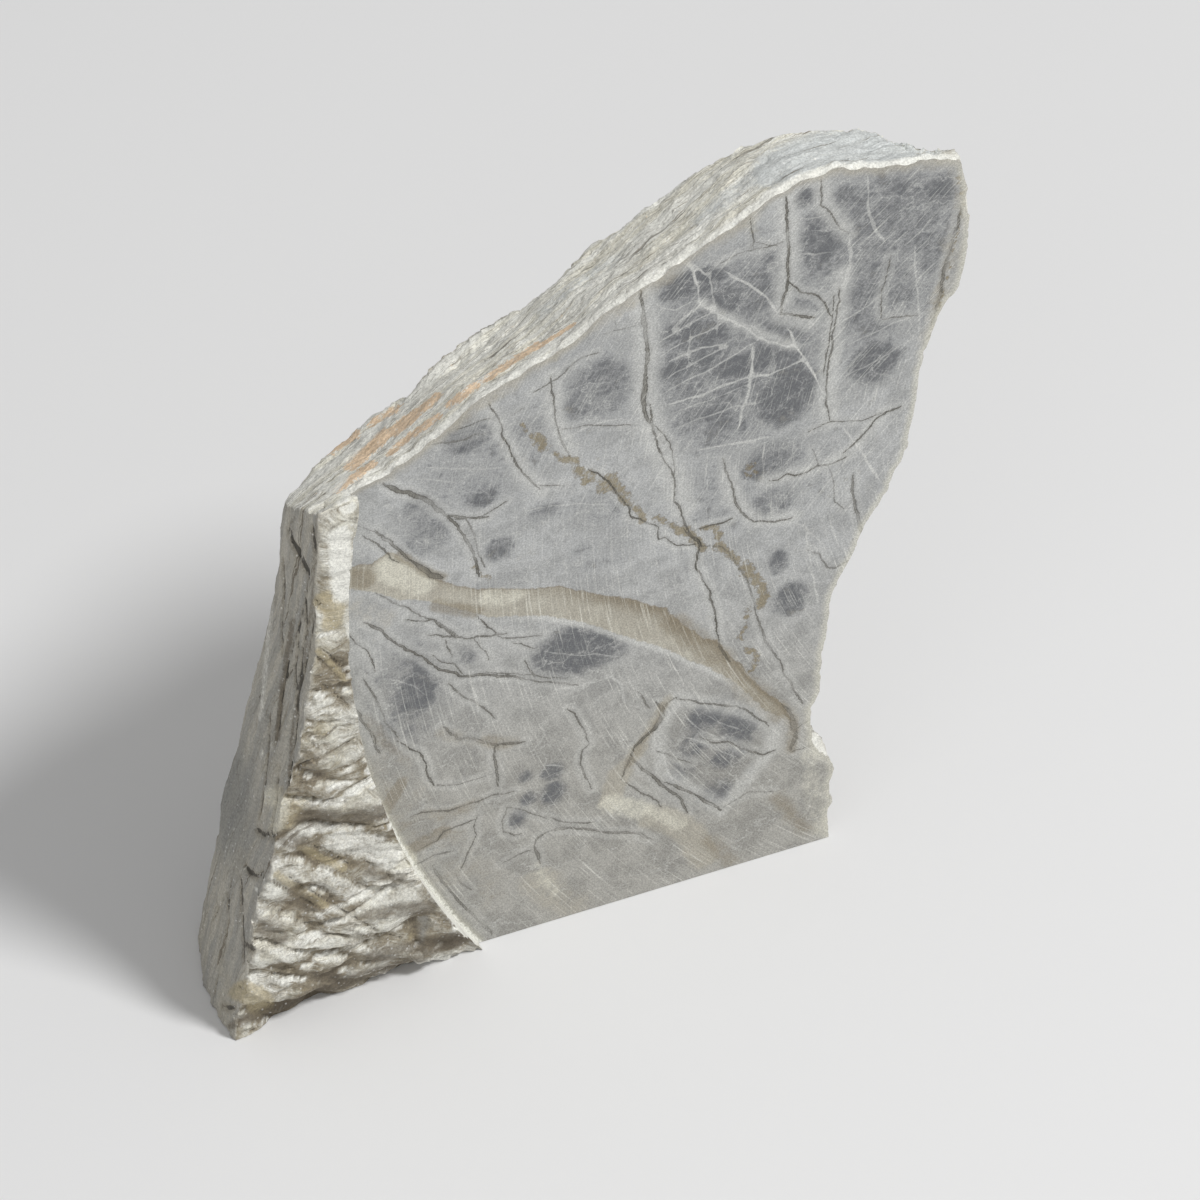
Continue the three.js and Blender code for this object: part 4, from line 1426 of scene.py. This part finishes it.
def stone_colour(graph, colours, cells, cloud, speck, lower_left):
    """Grey stone, warmer at the lower left, with dark cells and pale healed veins."""
    colour = graph.mix(graph.range(lower_left, -30, -150), colours.grey, colours.warm)
    colour = graph.tint(colour, graph.range(cloud, 0.3, 0.7), 0.84, 1.16)
    zone = graph.add(graph.attribute("blotch"), graph.spread(cloud, 0.75))
    veiled = graph.math("MAXIMUM", graph.times(cells["Net"], 0.18), graph.times(cells["Wall"], 0.3))
    ragged = graph.add(graph.spread(speck, 0.75), graph.times(veiled, -1))
    dark = graph.range(graph.add(zone, ragged), 0.15, 1.0)
    colour = graph.mix(graph.times(graph.range(zone, 0.0, 0.8), 0.5), colour, colours.dark)
    colour = graph.mix(graph.times(dark, 0.95), colour, colours.dark)
    near = graph.times(graph.range(graph.attribute("crack_gap"), 2.9, 1.4), graph.attribute("crack_tone"))
    halo = graph.math("MAXIMUM", graph.attribute("halo"), graph.times(near, 0.7))
    halo = graph.times(halo, graph.range(speck, 0.3, 0.65, 0.45, 0.65))
    colour = graph.mix(halo, colour, colours.pale)
    net = graph.math("MAXIMUM", graph.times(cells["Vein"], 0.5), graph.times(cells["Thread"], 0.2))
    net = graph.times(net, graph.range(cloud, 0.62, 0.4, 0.35, 1))
    colour = graph.mix(net, colour, colours.pale)
    vein = graph.range(graph.add(graph.attribute("vein_gap"), graph.spread(speck, 0.35)), 0.12, -0.35)
    vein = graph.times(graph.times(vein, graph.attribute("vein_tone")),
                       graph.range(speck, 0.3, 0.55, 0.5, 0.95))
    return graph.mix(vein, colour, colours.pale)


def band_colour(graph, colours, colour, flat, saw):
    """The beige band: dark along its upper edge, scratched, with a pale line under its lower edge."""
    x, _, _ = graph.split(flat)
    fray = graph.spread(graph.noise(flat, 0.5, 3, 0.7, "2D"), 0.8)
    depth = graph.add(graph.attribute("band"), fray)
    across = graph.attribute("band_across")
    clouds = graph.noise(flat, 0.11, 4, 0.65, "2D")
    right_part = graph.range(x, 50, 95)
    body = graph.mix(graph.range(clouds, 0.45, 0.7, 0, 0.3), colours.beige, colours.cream)
    shaded = graph.times(graph.range(across, 0.55, 0.0), graph.range(right_part, 0, 1, 0.35, 0.95))
    body = graph.mix(shaded, body, colours.umber_and_shade)
    body = graph.mix(graph.times(saw["Arcs"], 0.4), body, colours.cream)
    within = graph.range(depth, -0.3, 0.4)
    colour = graph.mix(graph.times(within, 0.93), colour, body)
    above = graph.math("LESS_THAN", across, 0.5)
    seam = graph.times(graph.range(graph.math("ABSOLUTE", depth), 0.5, 0.1), above)
    colour = graph.mix(graph.times(seam, 0.55), colour, colours.umber_and_shade)
    line = graph.times(graph.range(depth, -2.8, -0.6), graph.range(depth, 0.5, -0.3))
    line = graph.times(graph.math("SUBTRACT", line, above), graph.range(x, 40, 62))
    return graph.mix(graph.math("MULTIPLY", line, 0.7, clamp=True), colour, colours.pale)


def stain_colour(graph, colours, colour, speck, cloud):
    """Clay and rust that have soaked in beside the cracks."""
    ragged = graph.add(graph.spread(speck, 0.35), graph.spread(cloud, 0.55))
    for name, shade, strength in (("beige", colours.beige, 0.75), ("cream", colours.cream, 0.8),
                                  ("umber_and_shade", colours.umber_and_shade, 0.6)):
        mask = graph.range(graph.add(graph.attribute(name), ragged), 0.15, 1.0)
        colour = graph.mix(graph.times(mask, strength), colour, shade)
    lobes = graph.spread(speck, 1.7)
    rusty = graph.times(graph.add(graph.attribute("rust"), lobes),
                        graph.range(graph.attribute("rust"), 0, 0.25))
    colour = graph.mix(graph.times(graph.range(rusty, 0.3, 0.9), 0.72), colour, colours.rust)
    outline = graph.range(graph.math("ABSOLUTE", graph.math("SUBTRACT", rusty, 0.5)), 0.2, 0.03)
    return graph.mix(graph.times(outline, 0.45), colour, colours.mud_and_shade)


def crack_colour(graph, colours, colour, flat):
    """Cracks: clay inside, a dark line along their edges and a brown shade beside them."""
    fray = graph.spread(graph.noise(flat, 0.9, 3, 0.7, "2D"), 0.42)
    fade = graph.range(graph.noise(flat, 0.07, 3, 0.6, "2D"), 0.36, 0.6, 0.4, 1)
    gap = graph.add(graph.attribute("crack_gap"), fray)
    tone = graph.times(graph.attribute("crack_tone"), fade)
    colour = graph.mix(graph.times(graph.times(graph.range(gap, 1.2, 0.0), tone), 0.3), colour, colours.crack)
    filling = graph.times(graph.range(gap, 0.2, -0.12), tone)
    colour = graph.mix(graph.times(filling, 0.85), colour, colours.crack)
    line = graph.range(graph.math("ABSOLUTE", graph.add(gap, 0.06)), 0.2, 0.04)
    colour = graph.mix(graph.times(graph.times(line, tone), 0.9), colour, colours.line)
    return colour, filling


def kerf_material(groups, colours):
    """The wall that the blade's rim left: crushed white stone with fine grooves."""
    material, graph, shader = surface("sawn_kerf")
    place = graph.place()
    _, y, _ = graph.split(place)
    crystals = use(graph, groups["grain"], Place=place)
    lines = graph.noise(graph.join(y, 0, 0), 2.2, 4, 0.7, "2D")
    cloud = graph.noise(place, 0.12, 4, 0.65)
    colour = graph.mix(graph.range(lines, 0.25, 0.45, 0.6, 1), colours.pale, colours.white)
    colour = graph.mix(graph.range(cloud, 0.5, 0.7, 0, 0.3), colour, colours.beige)
    colour = graph.tint(colour, crystals["Mottle"], 0.92, 1.12)
    graph.put(shader.inputs["Base Color"], colour)
    shader.inputs["Roughness"].default_value = 0.6
    bump(graph, shader, graph.add(lines, crystals["Mottle"]), 0.15 * MM, 0.6)
    return material


def skin_material(groups, colours):
    """The natural skin: torn white ledge, streaked top, weathered side and split back."""
    material, graph, shader = surface("natural_alabaster")
    place = graph.place()
    crystals = use(graph, groups["grain"], Place=place)
    layers = use(graph, groups["bedding"], Place=place)
    cloud = graph.noise(place, 0.06, 4, 0.65)
    speck = graph.noise(place, 0.5, 4, 0.75)
    ledge, roof, side = (graph.attribute(name) for name in ("is_ledge", "is_roof", "is_side"))
    # The relief height, shaken by noise: the ledge and the split faces paint shade into its low parts.
    height = graph.add(graph.attribute("relief"), graph.spread(speck, 1.6))
    fibre = torn_fibres(graph, place)
    patches = graph.spread(graph.noise(place, 0.035, 3, 0.6), 4.5)

    colour = split_colour(graph, colours, layers, cloud, height)
    colour = graph.mix(ledge, colour, torn_colour(graph, colours, cloud, fibre, patches, height))
    colour = graph.mix(roof, colour, top_colour(graph, colours, layers, cloud, speck))
    colour = graph.mix(side, colour, worn_colour(graph, colours, layers, cloud, speck))
    colour = skin_marks(graph, colours, colour, speck)
    crushed = graph.range(graph.add(graph.attribute("rim"), graph.times(speck, 4)), 6.0, 3.0)
    colour = graph.mix(graph.times(crushed, 0.88), colour, colours.white)
    # Painted glints: rare crystals are brightened to near white in the colour; further down they are also
    # made glossy.
    colour = graph.mix(graph.times(crystals["Sparkle"], 0.5), colour, (0.95, 0.95, 0.93))
    colour = graph.tint(colour, crystals["Mottle"], 0.84, 1.22)
    graph.put(shader.inputs["Base Color"], colour)

    graph.put(shader.inputs["Roughness"], graph.range(crystals["Sparkle"], 0, 1, 0.72, 0.2))
    elsewhere = graph.math("SUBTRACT", 1, ledge)
    strands = graph.add(graph.times(layers["Fine"], elsewhere), graph.times(fibre, graph.times(ledge, 0.8)))
    crumbs = graph.add(graph.times(crystals["Mottle"], 0.3), graph.times(speck, 0.7))
    bump(graph, shader, graph.add(strands, crumbs), 0.9 * MM, 0.6)
    return material


def torn_fibres(graph, place):
    """Fine fibres of the broken stone, which run across the ledge, down to the right."""
    x, y, z = graph.split(place)
    along = graph.math("SUBTRACT", x, graph.times(z, 0.35))
    across = graph.add(z, graph.times(x, 0.35))
    bend = graph.spread(graph.noise(place, 0.05, 2), 12)
    strands = graph.join(graph.times(along, 0.16), graph.times(y, 0.3), graph.add(across, bend))
    return graph.noise(strands, 0.75, 4, 0.7)


def torn_colour(graph, colours, cloud, fibre, patches, height):
    """Freshly broken stone: white and cream crests, brown and grey hollows. The hollows are partly brown clay
    and partly painted shade, darker the lower the relief.
    """
    crest = graph.mix(graph.range(cloud, 0.45, 0.6, 0.2, 0.8), colours.white, colours.cream)
    shade = graph.mix(graph.range(cloud, 0.32, 0.42, 0.5, 1), colours.slate_and_shade, colours.umber_and_shade)
    height = graph.add(graph.add(height, graph.spread(fibre, 3.4)), patches)
    # Painted shade with brown clay: the colour goes from the crests to the grey and brown of the hollows as
    # the relief falls.
    colour = graph.mix(graph.range(height, 2.3, -1.7, 0, 0.92), crest, shade)
    # Painted shade with mud: the deepest hollows turn near black.
    colour = graph.mix(graph.range(height, -1.4, -3.4, 0, 0.85), colour, colours.mud_and_shade)
    return graph.mix(graph.range(cloud, 0.58, 0.7, 0, 0.45), colour, colours.honey)


def top_colour(graph, colours, layers, cloud, speck):
    """The edges of the layers: cream and white streaks, grey green ones, and thin dark lines."""
    colour = graph.mix(graph.range(layers["Broad"], 0.38, 0.58), colours.skin, colours.white)
    colour = graph.mix(graph.range(layers["Fine"], 0.54, 0.61, 0, 0.35), colour, colours.warm)
    colour = graph.mix(graph.range(layers["Fine"], 0.6, 0.67, 0, 0.8), colour, colours.umber_and_shade)
    colour = graph.mix(graph.range(layers["Hair"], 0.55, 0.62, 0, 0.5), colour, colours.mud_and_shade)
    colour = graph.mix(graph.range(layers["Hair"], 0.47, 0.39, 0, 0.8), colour, colours.white)
    colour = graph.mix(graph.range(speck, 0.62, 0.74, 0, 0.4), colour, colours.side)
    colour = graph.mix(graph.times(graph.attribute("blotch"), 0.9, clamp=True), colour, colours.slate_and_shade)
    stained = graph.add(graph.attribute("orange"), graph.spread(speck, 1.1))
    stained = graph.add(stained, graph.spread(layers["Fine"], 0.6))
    colour = graph.mix(graph.range(stained, 0.35, 0.7, 0, 0.85), colour, colours.orange)
    frosted = graph.add(graph.attribute("frost"), graph.spread(speck, 0.6))
    colour = graph.mix(graph.range(frosted, 0.25, 0.9, 0, 0.8), colour, colours.frost)
    lines = graph.times(graph.range(layers["Line"], 0.38, 0.33), graph.range(cloud, 0.35, 0.55, 0.4, 1))
    colour = graph.mix(graph.times(lines, 0.8), colour, colours.mud_and_shade)
    return graph.mix(graph.range(speck, 0.4, 0.28, 0, 0.9), colour, colours.white)


def worn_colour(graph, colours, layers, cloud, speck):
    """Brown grey stone with long streaks that run down."""
    colour = graph.mix(graph.range(layers["Broad"], 0.35, 0.65), colours.side, colours.warm)
    colour = graph.mix(graph.range(cloud, 0.5, 0.7, 0, 0.6), colour, colours.beige)
    colour = graph.mix(graph.range(layers["Fine"], 0.52, 0.7, 0, 0.6), colour, colours.umber_and_shade)
    colour = graph.mix(graph.range(speck, 0.62, 0.78, 0, 0.6), colour, colours.mud_and_shade)
    colour = graph.mix(graph.range(layers["Line"], 0.36, 0.31, 0, 0.8), colour, colours.mud_and_shade)
    return graph.mix(graph.times(graph.attribute("blotch"), 0.7), colour, colours.slate_and_shade)


def split_colour(graph, colours, layers, cloud, height):
    """Old broken stone of the back, the right side and the foot: cream crests and brown hollows, partly dirt
    and partly painted light and shade by the relief height.
    """
    colour = graph.mix(graph.range(cloud, 0.3, 0.7), colours.beige, colours.side)
    colour = graph.mix(graph.range(layers["Broad"], 0.4, 0.6, 0, 0.6), colour, colours.grey)
    # Painted light and shade with dirt in the hollows: cream on the crests and umber in the hollows, by the
    # relief height.
    colour = graph.mix(graph.range(height, 0.2, 2.2, 0, 0.75), colour, colours.cream)
    colour = graph.mix(graph.range(height, -0.6, -2.6, 0, 0.65), colour, colours.umber_and_shade)
    colour = graph.mix(graph.range(layers["Fine"], 0.54, 0.66, 0, 0.45), colour, colours.umber_and_shade)
    return graph.mix(graph.range(layers["Line"], 0.37, 0.27, 0, 0.3), colour, colours.umber_and_shade)


def skin_marks(graph, colours, colour, speck):
    """Stains and cracks that are laid on the skin."""
    # The umber stains also paint shade in the ledge's recesses, in the mud colour.
    for name, shade, strength in (("beige", colours.honey, 0.7), ("cream", colours.cream, 0.7),
                                  ("umber_and_shade", colours.mud_and_shade, 0.75), ("white", colours.white, 0.9)):
        mask = graph.range(graph.add(graph.attribute(name), graph.spread(speck, 0.6)), 0.25, 0.9)
        colour = graph.mix(graph.times(mask, strength), colour, shade)
    gap = graph.add(graph.attribute("crack_gap"), graph.spread(speck, 0.45))
    crack = graph.times(graph.range(gap, 0.28, -0.05), graph.attribute("crack_tone"))
    colour = graph.mix(graph.times(graph.range(gap, 1.4, 0.1), 0.35), colour, colours.umber_and_shade)
    return graph.mix(graph.times(crack, 0.9), colour, colours.line)


# ------------------------------------------------------------------ finishing


def assign_materials(stone, colours):
    """Fills the slots of the natural skin, the sawn face and the wall that the blade's rim left."""
    on_arc, squarely = 0.3, 0.98  # mm off the blade's arc, and how squarely the wall faces its centre
    groups = make_groups()
    for material in (skin_material(groups, colours), sawn_material(groups, colours),
                     kerf_material(groups, colours)):
        stone.data.materials.append(material)
    centre = np.array(BLADE_CENTRE, float)
    for face in stone.data.polygons:
        if face.material_index == SAWN:
            continue
        x, _, z = face_places(np.array(face.center)[None])[0]
        out = np.array((x, z)) - centre
        distance = np.linalg.norm(out)
        toward = -(face.normal.x * out[0] + face.normal.z * out[1]) / distance
        if abs(distance - BLADE_RADIUS) < on_arc and toward > squarely:
            face.material_index = KERF


def shade(stone):
    only(stone)
    smooth_below = 42
    bpy.ops.object.shade_smooth_by_angle(angle=math.radians(smooth_below))


class ROCK_OT_stone(bpy.types.Operator):
    """Carves, saws and finishes the stone"""

    bl_idname = "rock.stone"
    bl_label = "Stone"

    def execute(self, context):
        sizes = context.scene.stone_sizes
        stone = whole_block(sizes)
        remesh(stone, sizes)
        refine(stone)
        carve(stone, sizes)
        saw_off_front(stone)
        level_foot(stone)
        stone = without_crumbs(stone)
        rim_places = lay_face(stone, sizes)
        mark(stone, rim_places, sizes)
        assign_materials(stone, context.scene.stone_colours)
        shade(stone)
        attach(stone, "root")
        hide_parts(NODE)
        return {"FINISHED"}


# ------------------------------------------------------------------ stage


def lamp(name, kind, energy, place, target, **settings):
    light = bpy.data.lights.new(name, kind)
    light.energy = energy
    for key, value in settings.items():
        setattr(light, key, value)
    holder = bpy.data.objects.new(name, light)
    holder.location = place
    holder.rotation_euler = (Vector(target) - Vector(place)).to_track_quat("-Z", "Y").to_euler()
    bpy.context.scene.collection.objects.link(holder)


def make_floor():
    bpy.ops.object.select_all(action="DESELECT")
    bpy.ops.mesh.primitive_plane_add(size=8, location=(0, 0, -0.2 * MM))
    floor = bpy.context.object
    floor.name = "floor"
    material, _, shader = surface("pale_floor")
    shader.inputs["Base Color"].default_value = (0.82, 0.82, 0.82, 1)
    shader.inputs["Roughness"].default_value = 0.9
    floor.data.materials.append(material)


def make_lights():
    lamp("key", "AREA", 54, (1.05, -1.2, 2.55), (0, 0, 0.14), shape="DISK", size=0.6)
    lamp("fill", "AREA", 8, (-2.0, -1.8, 1.2), (0, 0, 0.14), shape="DISK", size=2.0)
    world = bpy.data.worlds.new("studio")
    world.use_nodes = True
    world.node_tree.nodes["Background"].inputs["Color"].default_value = (1, 1, 1, 1)
    world.node_tree.nodes["Background"].inputs["Strength"].default_value = 0.38
    bpy.context.scene.world = world


def make_camera():
    distance = 10.0
    sensor = 36
    view_width = 0.3636  # at the target
    target = Vector((2.3 * MM, -32.4 * MM, 132.3 * MM))
    data = bpy.data.cameras.new("camera")
    data.sensor_width = sensor
    data.lens = sensor * distance / view_width
    data.clip_end = 60
    camera = bpy.data.objects.new("camera", data)
    camera.location = target + toward_viewer() * distance
    camera.rotation_euler = (-toward_viewer()).to_track_quat("-Z", "Y").to_euler()
    bpy.context.scene.collection.objects.link(camera)
    bpy.context.scene.camera = camera


class ROCK_OT_stage(bpy.types.Operator):
    """Sets the floor, the lights and the camera"""

    bl_idname = "rock.stage"
    bl_label = "Stage"

    def execute(self, context):
        make_floor()
        make_lights()
        make_camera()
        context.scene.view_settings.view_transform = "Standard"
        context.scene.cycles.max_bounces = 3
        return {"FINISHED"}


class ROCK_PT_panel(bpy.types.Panel):
    """Shows the stone's sizes and colours, and the buttons that build the stone and the stage"""

    bl_idname = "ROCK_PT_panel"
    bl_label = "Alabaster rock"
    bl_space_type = "VIEW_3D"
    bl_region_type = "UI"
    bl_category = "Rock"

    def draw(self, context):
        for settings in (context.scene.stone_sizes, context.scene.stone_colours):
            for name in settings.__annotations__:
                self.layout.prop(settings, name)
        self.layout.operator("rock.stone")
        self.layout.operator("rock.stage")


CLASSES = (StoneSizes, StoneColours, ROCK_OT_stone, ROCK_OT_stage, ROCK_PT_panel)


def register():
    for item in CLASSES:
        bpy.utils.register_class(item)
    bpy.types.Scene.stone_sizes = bpy.props.PointerProperty(type=StoneSizes)
    bpy.types.Scene.stone_colours = bpy.props.PointerProperty(type=StoneColours)


def unregister():
    del bpy.types.Scene.stone_colours
    del bpy.types.Scene.stone_sizes
    for item in reversed(CLASSES):
        bpy.utils.unregister_class(item)


def main():
    register()
    bpy.ops.rock.stage()
    bpy.ops.rock.stone()


if __name__ == "__main__":
    main()
